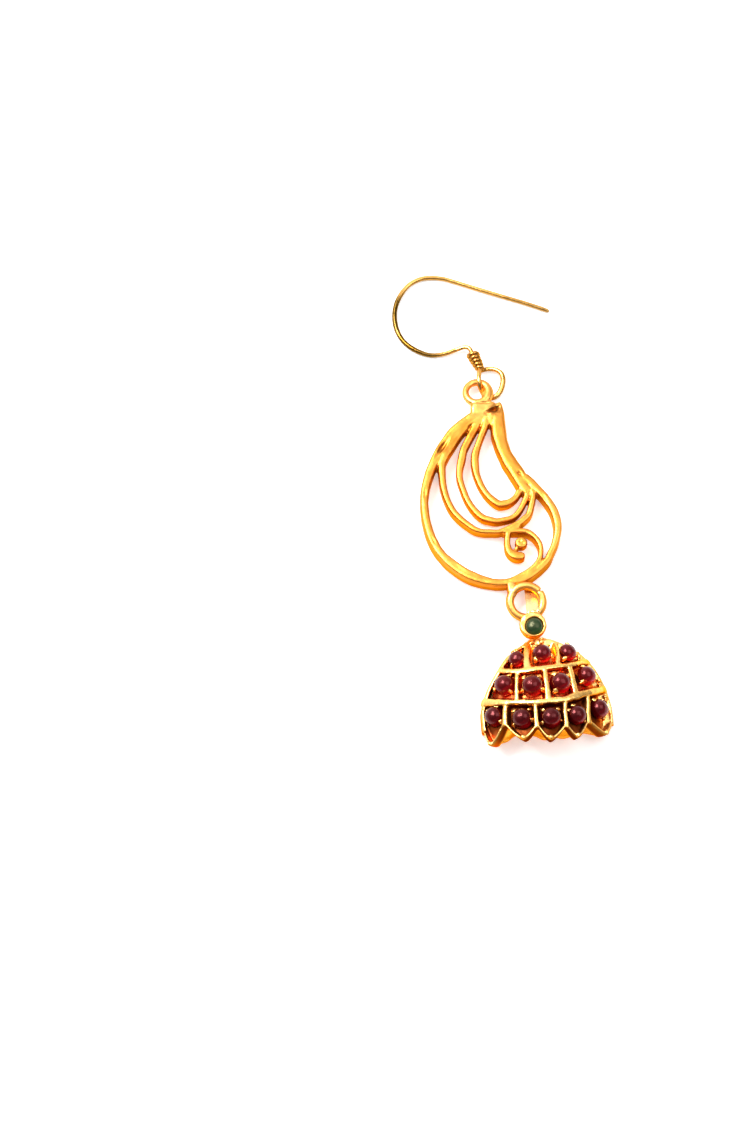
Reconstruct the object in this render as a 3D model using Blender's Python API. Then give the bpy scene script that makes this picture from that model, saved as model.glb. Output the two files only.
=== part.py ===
"""A drop earring as it lies on a flat surface: a bent wire ear hook, an openwork paisley casting with a
round link soldered to its lower edge, and a half-dome drop set with twelve red cabochons below one green one.

Lengths in the tables are millimetres, on the surface z = 0, with +Y towards the hook and +Z up. The meshes are
scaled to metres at the end.
"""

import math

import bmesh
import bpy
from mathutils import Matrix, Vector

MM = 0.001

# The middle of the earring's outline, moved to the origin.
CENTRE_X, CENTRE_Y = -0.95266, 0.75137

# Ear hook
WIRE_R = 0.30
WIRE_SIDES = 7
COIL_R = 0.635          # centre of the wound wire to the middle of the core
COIL_PITCH = 0.63
COIL_TURNS = 3.9
COIL_STEPS = 10         # sections in a turn

# Paisley casting
CAST_Z = 2.10           # height of its front face
STRAND_EDGE = 0.22      # the worn edge along each strand's front
RING_WIRE_R = 0.52
TOP_RING = (-3.86, 17.92, 1.65, 1.75)            # centre x, y, half width, half height
TOP_RING_Z = (0.96, 1.44)                        # lowest and highest point of its centre line
LINK = (2.45, -14.30, 2.26, 2.20)
LINK_Z = (1.00, 1.93)
LINK_GAP_AT, LINK_GAP = 38.0, 2.6                # degrees round the link, where its two ends meet

# Drop: its own frame, x across, s down its length, n out of its back plate
DROP_ORIGIN = Vector((3.837, -19.767, 1.000))
DROP_END = Vector((4.911, -34.038, 0.000))
AXIS_X, AXIS_DEPTH = -0.35, 5.33                 # the dome's axis, aside of and behind the back plate
WALL = 1.15                                      # height of the lattice above the cell floors
FLOOR = 0.55                                     # thickness of the shell under the cells
BACK = 0.60                                      # thickness of the back plate
BAND_1_W, BAND_2_W = 0.74, 0.92
DIVIDER_W, EDGE_W, PETAL_W = 0.62, 0.50, 0.72

# Setting and stones
CUP_X, CUP_S, CUP_R = -0.42, -1.62, 1.80
CUP_BACK, CUP_FLOOR, CUP_TOP = 0.47, 1.02, 1.80
SEAT_X, SEAT_S, SEAT_R = -0.34, -1.53, 1.40
GREEN_R, GREEN_H = 1.30, 1.25
RED_H = 1.70
SEAT_GAP = 0.06
LEAN = 0.45              # share of the dome's slope that the red stones follow
STONE_SIDES = 12
STRAP_W, STRAP_T = 1.42, 0.30

# x, y, z of the hook wire, from the cut tip round to the coil
HOOK = (
    (6.87, 31.55, 0.30),
    (5.23, 32.19, 0.30),
    (0.84, 33.72, 0.30),
    (-7.11, 36.44, 0.30),
    (-8.53, 36.87, 0.30),
    (-10.14, 37.02, 0.30),
    (-11.90, 36.79, 0.30),
    (-13.66, 35.70, 0.30),
    (-15.10, 33.64, 0.30),
    (-15.72, 31.42, 0.30),
    (-15.54, 28.97, 0.30),
    (-14.61, 26.90, 0.30),
    (-13.03, 25.40, 0.30),
    (-10.75, 24.42, 0.32),
    (-8.66, 24.49, 0.42),
    (-6.89, 25.05, 0.62),
    (-5.76, 25.36, 0.85),
    (-5.08, 25.28, 0.99),
    (-4.76, 24.98, 1.03),
)
COIL_TOP = (-4.55, 24.53, 1.05)
COIL_FOOT = (-3.48, 22.16, 1.12)
# x, y, z of the loop: out of the coil, over the top ring's upper side, down through it and back to the coil
HOOK_LOOP = (
    (-3.42, 21.70, 1.34),
    (-3.50, 21.05, 1.68),
    (-3.60, 20.07, 1.96),
    (-3.58, 19.21, 1.84),
    (-3.34, 18.50, 1.20),
    (-2.80, 17.87, 0.51),
    (-1.95, 17.50, 0.31),
    (-1.04, 17.82, 0.40),
    (-0.37, 18.79, 0.50),
    (-0.07, 20.17, 0.62),
    (-0.30, 21.25, 0.70),
    (-1.13, 21.88, 0.66),
    (-2.28, 22.06, 0.52),
)

# x, y, width of each strand of the casting along its middle
RIM = (
    (-3.81, 14.29, 1.82),
    (-7.77, 10.84, 1.75),
    (-10.08, 6.95, 1.43),
    (-11.28, 3.24, 1.27),
    (-11.53, -0.14, 1.20),
    (-10.90, -3.79, 1.28),
    (-9.44, -6.96, 1.33),
    (-6.96, -9.56, 1.40),
    (-4.00, -11.11, 1.31),
    (-0.74, -11.55, 1.23),
    (2.45, -10.80, 1.34),
    (5.23, -8.55, 1.15),
    (6.07, -6.96, 0.95),
    (6.70, -5.45, 1.00),
    (7.06, -3.86, 1.12),
    (7.04, -2.19, 1.24),
    (6.55, -0.52, 1.27),
    (5.72, 0.98, 1.27),
    (4.73, 2.27, 1.28),
    (2.39, 4.78, 1.50),
)
STRIP = (
    (-0.80, 15.59, 1.14),
    (-0.94, 14.40, 1.85),
    (-0.96, 12.52, 2.14),
    (-0.78, 10.64, 2.16),
    (-0.29, 8.77, 2.04),
    (0.46, 7.06, 2.13),
    (1.37, 5.51, 2.27),
    (2.16, 4.04, 2.17),
    (2.69, 2.73, 1.84),
    (2.81, 1.81, 1.42),
)
ARC_1 = (
    (-2.50, 13.70, 1.10),
    (-2.99, 12.14, 1.01),
    (-3.98, 9.40, 1.05),
    (-4.31, 7.77, 1.19),
    (-4.29, 6.06, 1.14),
    (-4.00, 4.44, 1.01),
    (-2.83, 2.01, 1.00),
    (-1.28, 0.46, 1.16),
    (-0.44, 0.37, 1.18),
    (0.48, 0.67, 1.03),
    (1.34, 1.44, 0.92),
    (1.82, 2.44, 0.85),
)
ARC_2 = (
    (-3.45, 13.80, 1.25),
    (-4.12, 12.32, 1.31),
    (-5.73, 9.04, 1.25),
    (-6.24, 7.32, 1.19),
    (-6.51, 5.46, 1.02),
    (-6.41, 3.84, 0.94),
    (-5.35, 0.77, 0.93),
    (-3.70, -1.45, 1.03),
    (-2.38, -2.01, 1.01),
    (-0.98, -2.16, 0.88),
    (1.21, -1.37, 0.78),
    (2.70, 1.15, 0.84),
    (2.91, 2.38, 0.98),
)
ARC_3 = (
    (-5.55, 12.40, 1.20),
    (-6.70, 11.02, 1.31),
    (-7.79, 9.15, 1.30),
    (-8.66, 7.59, 1.25),
    (-9.03, 6.04, 1.13),
    (-8.74, 2.49, 1.00),
    (-7.45, -0.80, 0.97),
    (-5.06, -3.13, 0.96),
    (-3.67, -3.80, 0.82),
    (-2.27, -3.92, 0.76),
    (-0.87, -3.83, 0.75),
    (1.46, -2.71, 0.97),
    (2.48, -1.91, 1.03),
    (3.19, -0.95, 0.98),
    (3.77, 1.42, 0.85),
    (3.54, 2.64, 0.85),
)
SCROLL = (
    (-0.32, -3.91, 0.67),
    (2.20, -3.76, 0.91),
    (3.17, -4.09, 0.89),
    (3.99, -4.85, 0.84),
    (4.53, -5.80, 0.79),
    (4.68, -6.81, 0.74),
    (4.45, -7.94, 0.75),
    (3.89, -8.91, 0.79),
    (3.04, -9.74, 0.88),
    (1.92, -10.34, 0.88),
)
CURL = (
    (0.18, -3.70, 0.64),
    (0.00, -4.81, 0.70),
    (0.01, -5.87, 0.76),
    (0.19, -6.77, 0.86),
    (0.62, -7.50, 0.98),
    (1.21, -7.82, 1.04),
    (1.85, -7.60, 0.96),
    (2.22, -7.00, 0.84),
    (2.22, -6.20, 0.84),
    (1.90, -5.70, 0.92),
)

# s, radius of the dome's outer form about its axis
PROFILE = (
    (-1.0, 4.90),
    (0.0, 5.60),
    (1.0, 6.80),
    (2.0, 7.80),
    (3.5, 8.95),
    (5.0, 9.75),
    (7.0, 10.50),
    (9.0, 10.95),
    (11.0, 11.20),
    (16.0, 11.25),
)
# s, angle of the left edge, angle of the right edge, in degrees about the axis
OUTLINE = (
    (-0.4, -6.0, 12.0),
    (0.3, -12.0, 30.0),
    (1.3, -21.5, 43.0),
    (2.6, -31.3, 50.0),
    (4.4, -36.6, 55.0),
    (6.0, -41.5, 57.2),
    (7.6, -45.8, 58.6),
    (9.0, -48.8, 59.3),
    (10.4, -50.2, 59.8),
    (13.0, -49.8, 59.7),
)
# angle, s of the two raised bands
BAND_1 = ((-36.0, 4.55), (-21.5, 5.21), (-10.6, 5.31), (4.4, 5.16), (20.2, 4.92), (38.6, 4.16), (52.0, 3.60))
BAND_2 = ((-49.0, 8.70), (-32.0, 9.45), (-20.0, 9.89), (-8.7, 10.19), (2.4, 10.25), (16.3, 9.97), (31.2, 9.10), (57.5, 7.70))
# angle and s at the top, angle and s at the foot of each divider between cells
DIVIDERS = (
    (-10.4, 0.2, -10.0, 5.3),
    (25.0, 0.5, 14.6, 5.0),
    (-18.2, 5.2, -19.8, 9.9),
    (3.5, 5.1, 3.0, 10.2),
    (24.9, 4.8, 24.9, 9.5),
    (-28.0, 9.6, -30.2, 12.9),
    (-6.8, 10.2, -6.6, 13.8),
    (15.0, 10.0, 14.0, 14.0),
    (34.7, 8.97, 32.3, 13.33),
)
# angle and s of each petal's tip, and of the notch on its right
PETALS = (
    (-42.8, 15.25, -30.2, 12.60),
    (-17.0, 15.30, -6.6, 13.55),
    (2.1, 15.70, 14.0, 13.75),
    (21.9, 15.45, 31.8, 13.10),
    (47.5, 14.70, 60.2, 12.40),
)
PETAL_START = (-50.4, 12.10)
# x, s along the back plate's lower edge
BACK_EDGE = (
    (-8.05, 13.2),
    (-6.93, 14.30),
    (-5.40, 14.15),
    (-4.18, 13.43),
    (-1.82, 13.62),
    (-0.60, 14.25),
    (0.50, 14.28),
    (1.25, 14.08),
    (2.20, 14.30),
    (3.83, 13.98),
    (4.95, 13.75),
    (6.90, 14.25),
    (7.75, 14.30),
    (8.60, 13.1),
)
# angle, s, radius of the red stones
RED_STONES = (
    (-20.3, 3.45, 1.10),
    (3.9, 3.05, 1.30),
    (31.2, 2.80, 1.20),
    (-29.8, 7.05, 1.46),
    (-7.7, 7.75, 1.50),
    (14.2, 7.60, 1.48),
    (40.4, 6.30, 1.42),
    (-39.2, 11.10, 1.41),
    (-17.2, 12.10, 1.48),
    (3.8, 12.40, 1.50),
    (23.9, 12.10, 1.35),
    (46.0, 10.90, 1.36),
)
# y, z of the strap loop along its middle, from the setting's back round the link to the setting's top
STRAP_PATH = (
    (-18.10, 1.62),
    (-17.62, 1.02),
    (-17.10, 0.46),
    (-16.50, 0.24),
    (-15.40, 0.20),
    (-14.10, 0.24),
    (-13.10, 0.34),
    (-12.62, 0.50),
    (-12.48, 0.78),
    (-12.72, 1.04),
    (-13.70, 1.34),
    (-15.00, 1.86),
    (-16.00, 2.34),
    (-16.80, 2.66),
)
STRAP_X = (3.12, 3.34)       # at the far end of the loop, and at the setting


def material(name, colour, roughness, metallic):
    made = bpy.data.materials.new(name)
    made.use_nodes = True
    shader = made.node_tree.nodes["Principled BSDF"]
    shader.inputs["Base Color"].default_value = (*colour, 1.0)
    shader.inputs["Roughness"].default_value = roughness
    shader.inputs["Metallic"].default_value = metallic
    return made


def solid(name, points, faces, finish=None):
    """One closed mesh object with its faces turned outwards."""
    mesh = bpy.data.meshes.new(name)
    mesh.from_pydata([tuple(p) for p in points], [], faces)
    form = bmesh.new()
    form.from_mesh(mesh)
    bmesh.ops.recalc_face_normals(form, faces=form.faces)
    if form.calc_volume(signed=True) < 0:
        bmesh.ops.reverse_faces(form, faces=form.faces)
    form.to_mesh(mesh)
    form.free()
    made = bpy.data.objects.new(name, mesh)
    bpy.context.scene.collection.objects.link(made)
    if finish:
        mesh.materials.append(finish)
    return made


def smooth_rows(rows, steps):
    """The rows joined by a curve through them, with this many steps from row to row."""
    rows = [tuple(row) for row in rows]
    first = tuple(2 * a - b for a, b in zip(rows[0], rows[1]))
    last = tuple(2 * a - b for a, b in zip(rows[-1], rows[-2]))
    rows = [first, *rows, last]
    out = []
    for p, q, r, t in zip(rows, rows[1:], rows[2:], rows[3:]):
        for step in range(steps):
            k = step / steps
            out.append(
                tuple(
                    0.5 * (2 * b + (c - a) * k + (2 * a - 5 * b + 4 * c - d) * k * k + (3 * b - a - 3 * c + d) * k**3)
                    for a, b, c, d in zip(p, q, r, t)
                )
            )
    return [*out, rows[-2]]


def between(rows, at):
    """The row's other columns at this value of its first column."""
    if at <= rows[0][0]:
        return rows[0][1:]
    for low, high in zip(rows, rows[1:]):
        if at <= high[0]:
            k = (at - low[0]) / (high[0] - low[0])
            return tuple(a + (b - a) * k for a, b in zip(low[1:], high[1:]))
    return rows[-1][1:]


def loft(name, sections, closed=False, finish=None):
    """Equal rings of points joined in order, with flat ends unless the run closes on itself."""
    sides = len(sections[0])
    points = [p for section in sections for p in section]
    count = len(sections)
    faces = []
    for i in range(count if closed else count - 1):
        a, b = i * sides, (i + 1) % count * sides
        faces += [(a + j, a + (j + 1) % sides, b + (j + 1) % sides, b + j) for j in range(sides)]
    if not closed:
        faces += [tuple(range(sides)), tuple(range((count - 1) * sides, count * sides))]
    return solid(name, points, faces, finish)


def tube(name, path, radii, sides, closed=False, finish=None):
    """A round wire along a path, its rings carried along without twist."""
    path = [Vector(p) for p in path]
    count = len(path)
    sections = []
    normal = None
    for i, point in enumerate(path):
        before = path[i - 1] if i or closed else path[0]
        after = path[(i + 1) % count] if i < count - 1 or closed else path[-1]
        along = (after - before).normalized()
        if normal is None:
            normal = along.orthogonal().normalized()
        normal = (normal - along * normal.dot(along)).normalized()
        across = along.cross(normal)
        radius = radii[i] if isinstance(radii, list) else radii
        sections.append(
            [
                point + (normal * math.cos(a) + across * math.sin(a)) * radius
                for a in (2 * math.pi * k / sides for k in range(sides))
            ]
        )
    return loft(name, sections, closed, finish)


def strand(name, rows, steps, low, high, edge=STRAND_EDGE):
    """A flat-backed bar of the casting along rows of x, y, width."""
    rows = smooth_rows(rows, steps)
    sections = []
    for i, (x, y, width) in enumerate(rows):
        a, b = rows[max(i - 1, 0)], rows[min(i + 1, len(rows) - 1)]
        along = Vector((b[0] - a[0], b[1] - a[1], 0)).normalized()
        aside = Vector((-along.y, along.x, 0))
        half = width / 2
        shape = ((-half, low), (half, low), (half, high - edge), (half - edge, high), (edge - half, high), (-half, high - edge))
        sections.append([Vector((x, y, 0)) + aside * u + Vector((0, 0, z)) for u, z in shape])
    return loft(name, sections)


def fuse(base, parts):
    """The base joined with the parts into one body."""
    for part in parts:
        join = base.modifiers.new("join", "BOOLEAN")
        join.operation = "UNION"
        join.solver = "MANIFOLD"
        join.object = part
        seen = base.evaluated_get(bpy.context.evaluated_depsgraph_get())
        mesh = bpy.data.meshes.new_from_object(seen)
        base.modifiers.clear()
        base.data = mesh
        bpy.data.objects.remove(part)
    return base


# --- the drop's frame ---
DOWN = (DROP_END - DROP_ORIGIN).normalized()
ACROSS = Vector((0, 0, 1)).cross(DOWN).normalized()
OUT = DOWN.cross(ACROSS)


def drop_point(x, s, n):
    return DROP_ORIGIN + ACROSS * x + DOWN * s + OUT * n


def dome_point(angle, s, radius):
    a = math.radians(angle)
    return drop_point(AXIS_X + radius * math.sin(a), s, radius * math.cos(a) - AXIS_DEPTH)


def top_radius(s):
    return between(PROFILE, s)[0]


def floor_radius(angle, s):
    rise = (AXIS_DEPTH + 0.40) / math.cos(math.radians(angle))
    return min(top_radius(s) - 0.25, max(top_radius(s) - WALL, rise))


def inner_radius(angle, s):
    rise = (AXIS_DEPTH + 0.10) / math.cos(math.radians(angle))
    return min(floor_radius(angle, s) - 0.12, max(top_radius(s) - WALL - FLOOR, rise))


def depth_under_floor(point):
    """How far a point lies inside the cell floor's surface, measured from the dome's axis."""
    p = point - DROP_ORIGIN
    x, n = p.dot(ACROSS) - AXIS_X, p.dot(OUT) + AXIS_DEPTH
    return floor_radius(math.degrees(math.atan2(x, n)), p.dot(DOWN)) - math.hypot(x, n)


def petal_edge(angle):
    """s of the dome's lower edge: five petals, each rounded from its notches to a small point."""
    left = PETAL_START
    for tip_angle, tip, right_angle, right in PETALS:
        if angle <= right_angle:
            start, low = (left if angle < tip_angle else (right_angle, right))
            k = max(0.0, min(1.0, (angle - start) / (tip_angle - start)))
            return low + (tip - low) * (0.35 * k + 0.65 * math.sin(k * math.pi / 2))
        left = (right_angle, right)
    return PETALS[-1][3]


def spread(low, high, count):
    return [low + (high - low) * i / (count - 1) for i in range(count)]


def wall(name, route, proud):
    """A raised wall of the lattice. The route's rows are the two sides, each an angle and an s."""
    sections = []
    for (a1, s1), (a2, s2) in route:
        sections.append(
            [
                dome_point(a1, s1, top_radius(s1) + proud),
                dome_point(a2, s2, top_radius(s2) + proud),
                dome_point(a2, s2, floor_radius(a2, s2) - 0.25),
                dome_point(a1, s1, floor_radius(a1, s1) - 0.25),
            ]
        )
    return loft(name, sections)


def degrees_for(width, s):
    return math.degrees(width / top_radius(s))


def ring_path(ring, heights, start, sweep, count):
    """Points round an oval whose upper side is at one height and lower side at the other."""
    x, y, half_w, half_h = ring
    out = []
    for i in range(count):
        a = math.radians(start + sweep * i / count)
        k = 0.5 + 0.5 * math.sin(a)
        out.append((x + half_w * math.cos(a), y + half_h * math.sin(a), heights[0] + (heights[1] - heights[0]) * k))
    return out


def turned(name, profile, sides, place, finish=None):
    """A closed round form. The profile runs from the axis at the back round to the axis at the front."""
    points, faces = [place(0, 0, profile[0][1])], []
    rings = profile[1:-1]
    for radius, height in rings:
        points += [
            place(radius * math.cos(2 * math.pi * k / sides), radius * math.sin(2 * math.pi * k / sides), height)
            for k in range(sides)
        ]
    points.append(place(0, 0, profile[-1][1]))
    for k in range(sides):
        after = (k + 1) % sides
        faces.append((0, 1 + k, 1 + after))
        for i in range(len(rings) - 1):
            a, b = 1 + i * sides, 1 + (i + 1) * sides
            faces.append((a + k, b + k, b + after, a + after))
        last = 1 + (len(rings) - 1) * sides
        faces.append((last + k, len(points) - 1, last + after))
    return solid(name, points, faces, finish)


def make_hook(finish):
    path = smooth_rows([*HOOK, COIL_TOP], 3)
    top, foot = Vector(COIL_TOP), Vector(COIL_FOOT)
    path = [Vector(p) for p in path] + [top.lerp(foot, 0.5)]
    loop = [Vector(p) for p in smooth_rows([COIL_FOOT, *HOOK_LOOP], 2)]
    up = (top - foot).normalized()
    low = Vector((0, 0, -1))
    low = (low - up * low.dot(up)).normalized()
    side = up.cross(low)
    coil = []
    count = int(COIL_TURNS * COIL_STEPS)
    for i in range(count + 1):
        turn = i / COIL_STEPS
        a = 2 * math.pi * turn
        coil.append(foot + up * (0.02 + COIL_PITCH * turn) + (low * math.cos(a) - side * math.sin(a)) * COIL_R)
    path += [*loop, *coil]
    radii = [WIRE_R] * len(path)
    radii[0], radii[1] = 0.20, 0.27
    radii[-1] = 0.24
    made = tube("ear_hook", path, radii, WIRE_SIDES, finish=finish)
    return made


def make_paisley(finish):
    top_ring = tube("top_ring", ring_path(TOP_RING, TOP_RING_Z[::-1], 0, 360, 16), RING_WIRE_R, 7, closed=True)
    link = tube(
        "link",
        ring_path(LINK, LINK_Z, LINK_GAP_AT + LINK_GAP / 2, 360 - LINK_GAP, 20),
        RING_WIRE_R,
        7,
    )
    lug = strand("lug", ((0.30, -11.30, 1.0), (0.42, -12.20, 1.0), (0.56, -12.95, 0.9)), 1, 0.62, 1.98, 0.2)
    neck = strand("neck", ((-4.6, 14.6, 2.2), (-3.4, 15.6, 2.6), (-2.0, 15.3, 2.6), (-0.6, 15.0, 1.9)), 1, 0.03, 2.16)
    collar = strand("collar", ((-3.75, 15.2, 2.3), (-3.85, 16.3, 2.1)), 1, 0.42, 1.86, 0.3)
    strip = strand("strip", STRIP, 1, 0.02, CAST_Z + 0.08)
    parts = [
        strip,
        strand("arc_1", ARC_1, 2, 0.09, CAST_Z - 0.13),
        strand("arc_2", ARC_2, 2, 0.11, CAST_Z - 0.17),
        strand("arc_3", ARC_3, 2, 0.06, CAST_Z - 0.07),
        strand("scroll", SCROLL, 2, 0.08, CAST_Z - 0.03),
        strand("curl", CURL, 2, 0.12, CAST_Z - 0.15),
        neck,
        collar,
        top_ring,
        lug,
        link,
    ]
    made = fuse(strand("paisley_frame", RIM, 2, 0.0, CAST_Z), parts)
    made.data.materials.clear()
    made.data.materials.append(finish)
    return made


def make_shell():
    """The floor under the cells, between its outer and inner surface."""
    columns, rows = 22, 7
    outer, inner = [], []
    for i in range(columns + 1):
        k = i / columns
        foot_angle = -49.0 + (58.6 + 49.0) * k
        foot = petal_edge(foot_angle) - 0.05
        for j in range(rows + 1):
            s = -0.1 + (foot + 0.1) * j / rows
            left, right = between(OUTLINE, s)
            inset = degrees_for(0.40, s)
            angle = left + inset + (right - left - 2 * inset) * k
            outer.append(dome_point(angle, s, floor_radius(angle, s)))
            inner.append(dome_point(angle, s, inner_radius(angle, s)))
    size = len(outer)
    at = lambda i, j: i * (rows + 1) + j
    faces = []
    for i in range(columns):
        for j in range(rows):
            a, b, c, d = at(i, j), at(i + 1, j), at(i + 1, j + 1), at(i, j + 1)
            for face in ((a, b, c), (a, c, d)):
                faces += [face, tuple(size + v for v in reversed(face))]
    for i in range(columns):
        faces.append((at(i, 0), size + at(i, 0), size + at(i + 1, 0), at(i + 1, 0)))
        faces.append((at(i, rows), at(i + 1, rows), size + at(i + 1, rows), size + at(i, rows)))
    for j in range(rows):
        faces.append((at(0, j), at(0, j + 1), size + at(0, j + 1), size + at(0, j)))
        faces.append((at(columns, j), size + at(columns, j), size + at(columns, j + 1), at(columns, j + 1)))
    return solid("drop_frame", outer + inner, faces)


def make_edge(name, side):
    """The wall down one side of the dome, from its outer form back to the back plate's plane."""
    sections = []
    for s in spread(-0.35, 13.0, 13):
        angle = between(OUTLINE, s)[side]
        inward = degrees_for(EDGE_W, s) * (1 if side == 0 else -1)
        outer = dome_point(angle, s, top_radius(s))
        inner = dome_point(angle + inward, s, top_radius(s) + 0.01)
        outer_n, inner_n = (outer - DROP_ORIGIN).dot(OUT), (inner - DROP_ORIGIN).dot(OUT)
        sections.append([outer, inner, inner - OUT * inner_n, outer - OUT * outer_n])
    return loft(name, sections)


def make_band(name, rows, width, left, right, proud):
    route = []
    for angle in spread(left, right, 13):
        s = between(rows, angle)[0]
        route.append(((angle, s - width / 2), (angle, s + width / 2)))
    return wall(name, route, proud)


def make_back():
    left = [(between(OUTLINE, s)[0], s) for s in spread(0.1, 12.9, 9)]
    right = [(between(OUTLINE, s)[1], s) for s in spread(12.9, 0.1, 9)]
    outline = []
    for rows, inward in ((left, 0.30), (right, -0.30)):
        side = []
        for angle, s in rows:
            side.append((AXIS_X + top_radius(s) * math.sin(math.radians(angle)) + inward, s))
        outline += side
        if rows is left:
            outline += BACK_EDGE
    low = [drop_point(x, s, 0.03) for x, s in outline]
    high = [drop_point(x, s, BACK) for x, s in outline]
    return loft("back", [low, high])


def make_cup():
    """The round setting: a cup with a seat set a little aside of its outer wall."""
    sides = 20

    def ring(x, s, radius, n):
        return [
            drop_point(x + radius * math.cos(2 * math.pi * k / sides), s + radius * math.sin(2 * math.pi * k / sides), n)
            for k in range(sides)
        ]

    sections = [
        ring(CUP_X, CUP_S, CUP_R * 0.82, CUP_BACK),
        ring(CUP_X, CUP_S, CUP_R, CUP_BACK + 0.22),
        ring(CUP_X, CUP_S, CUP_R, CUP_TOP - 0.14),
        ring(CUP_X, CUP_S, CUP_R - 0.12, CUP_TOP),
        ring(SEAT_X, SEAT_S, SEAT_R + 0.08, CUP_TOP),
        ring(SEAT_X, SEAT_S, SEAT_R, CUP_TOP - 0.10),
        ring(SEAT_X, SEAT_S, SEAT_R, CUP_FLOOR),
    ]
    return loft("cup", sections)


def make_strap():
    rows = smooth_rows(STRAP_PATH, 1)
    sections = []
    for i, (y, z) in enumerate(rows):
        a, b = rows[max(i - 1, 0)], rows[min(i + 1, len(rows) - 1)]
        along = Vector((0, b[0] - a[0], b[1] - a[1])).normalized()
        out = Vector((0, -along.z, along.y)) * (STRAP_T / 2)
        k = max(0.0, min(1.0, (y + 12.5) / -4.0))
        middle = Vector((STRAP_X[0] + (STRAP_X[1] - STRAP_X[0]) * k, y, z))
        half = Vector((STRAP_W / 2, 0, 0))
        sections.append([middle - half - out, middle + half - out, middle + half + out, middle - half + out])
    return loft("strap", sections)


def make_drop(finish):
    neck = loft(
        "neck",
        [
            [drop_point(x, s, n) for x, n in ((m - w, 0.12), (m + w, 0.12), (m + w, top), (m - w, top))]
            for s, m, w, top in ((-1.4, -0.35, 0.75, 0.86), (-0.1, -0.12, 0.62, 0.96), (1.0, 0.02, 0.80, 0.88))
        ],
    )
    parts = [
        make_back(),
        make_edge("edge_left", 0),
        make_edge("edge_right", 1),
        make_band("band_1", BAND_1, BAND_1_W, -35.0, 53.5, 0.03),
        make_band("band_2", BAND_2, BAND_2_W, -47.0, 57.6, 0.05),
    ]
    for i, (top_angle, top_s, foot_angle, foot_s) in enumerate(DIVIDERS):
        route = []
        for k in spread(0.0, 1.0, 4):
            s = top_s + (foot_s - top_s) * k
            angle = top_angle + (foot_angle - top_angle) * k
            half = degrees_for(DIVIDER_W, s) / 2
            route.append(((angle - half, s), (angle + half, s)))
        parts.append(wall(f"divider_{i}", route, -0.03 - 0.004 * i))
    route = []
    for angle in spread(-49.4, 59.2, 37):
        foot = petal_edge(angle) + 0.02
        route.append(((angle, foot - PETAL_W), (angle, foot)))
    parts.append(wall("petals", route, -0.015))
    parts += [neck, make_cup(), make_strap()]
    made = fuse(make_shell(), parts)
    made.data.materials.clear()
    made.data.materials.append(finish)
    return made


def cabochon(radius, height):
    """Rows of radius and height: a flat back, sides that swell to the girdle and a high rounded top."""
    girdle = 0.42 * height
    rows = [(0, 0), (radius * 0.84, 0), (radius * 0.97, 0.22 * height), (radius, girdle)]
    for a in (30, 55, 76):
        rows.append((radius * math.cos(math.radians(a)), girdle + (height - girdle) * math.sin(math.radians(a))))
    return [*rows, (0, height)]


def make_stones(red, green):
    turned(
        "green_stone",
        cabochon(GREEN_R, GREEN_H),
        14,
        lambda x, y, z: drop_point(SEAT_X + x, SEAT_S + y, CUP_FLOOR + SEAT_GAP + z),
        green,
    )
    for i, (angle, s, radius) in enumerate(RED_STONES):
        slope = LEAN * math.atan((top_radius(s + 0.6) - top_radius(s - 0.6)) / 1.2)
        a = math.radians(angle)
        radial = ACROSS * math.sin(a) + OUT * math.cos(a)
        up = (radial * math.cos(slope) - DOWN * math.sin(slope)).normalized()
        side = (ACROSS * math.cos(a) - OUT * math.sin(a)).normalized()
        length = side.cross(up)
        seat = dome_point(angle, s, floor_radius(angle, s))
        lift = 0.0
        for k in range(STONE_SIDES):
            turn = 2 * math.pi * k / STONE_SIDES
            rim = seat + (side * math.cos(turn) + length * math.sin(turn)) * radius * 0.9
            lift = max(lift, depth_under_floor(rim))
        seat += up * (SEAT_GAP + 0.06 + lift)
        turned(
            f"red_stone_{i + 1:02d}",
            cabochon(radius, RED_H * radius / 1.45),
            STONE_SIDES,
            lambda x, y, z: seat + side * x + length * y + up * z,
            red,
        )


def main():
    for old in list(bpy.data.objects):
        bpy.data.objects.remove(old)
    gold = material("gold", (0.95, 0.58, 0.16), 0.22, 1.0)
    hook_gold = material("hook_gold", (0.80, 0.55, 0.20), 0.24, 1.0)
    red = material("red_stone", (0.20, 0.002, 0.012), 0.08, 0.0)
    green = material("green_stone", (0.02, 0.07, 0.025), 0.10, 0.0)
    make_hook(hook_gold)
    make_paisley(gold)
    make_drop(gold)
    make_stones(red, green)
    place = Matrix.Scale(MM, 4) @ Matrix.Translation((-CENTRE_X, -CENTRE_Y, 0))
    for made in bpy.data.objects:
        made.data.transform(place)
        made.data.shade_smooth()
        made.data.set_sharp_from_angle(angle=math.radians(32))


main()
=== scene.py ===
"""A gilt drop earring lying on a pale surface: the finished surfaces of the ear hook, the openwork paisley casting,
its rings, and the half-dome drop with its cabochons.

Lengths in the tables are millimetres, on the surface z = 0, with +Y towards the hook and +Z up.
"""

import math

import bmesh
import bpy
import numpy as np
from mathutils import Matrix, Vector, noise


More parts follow.
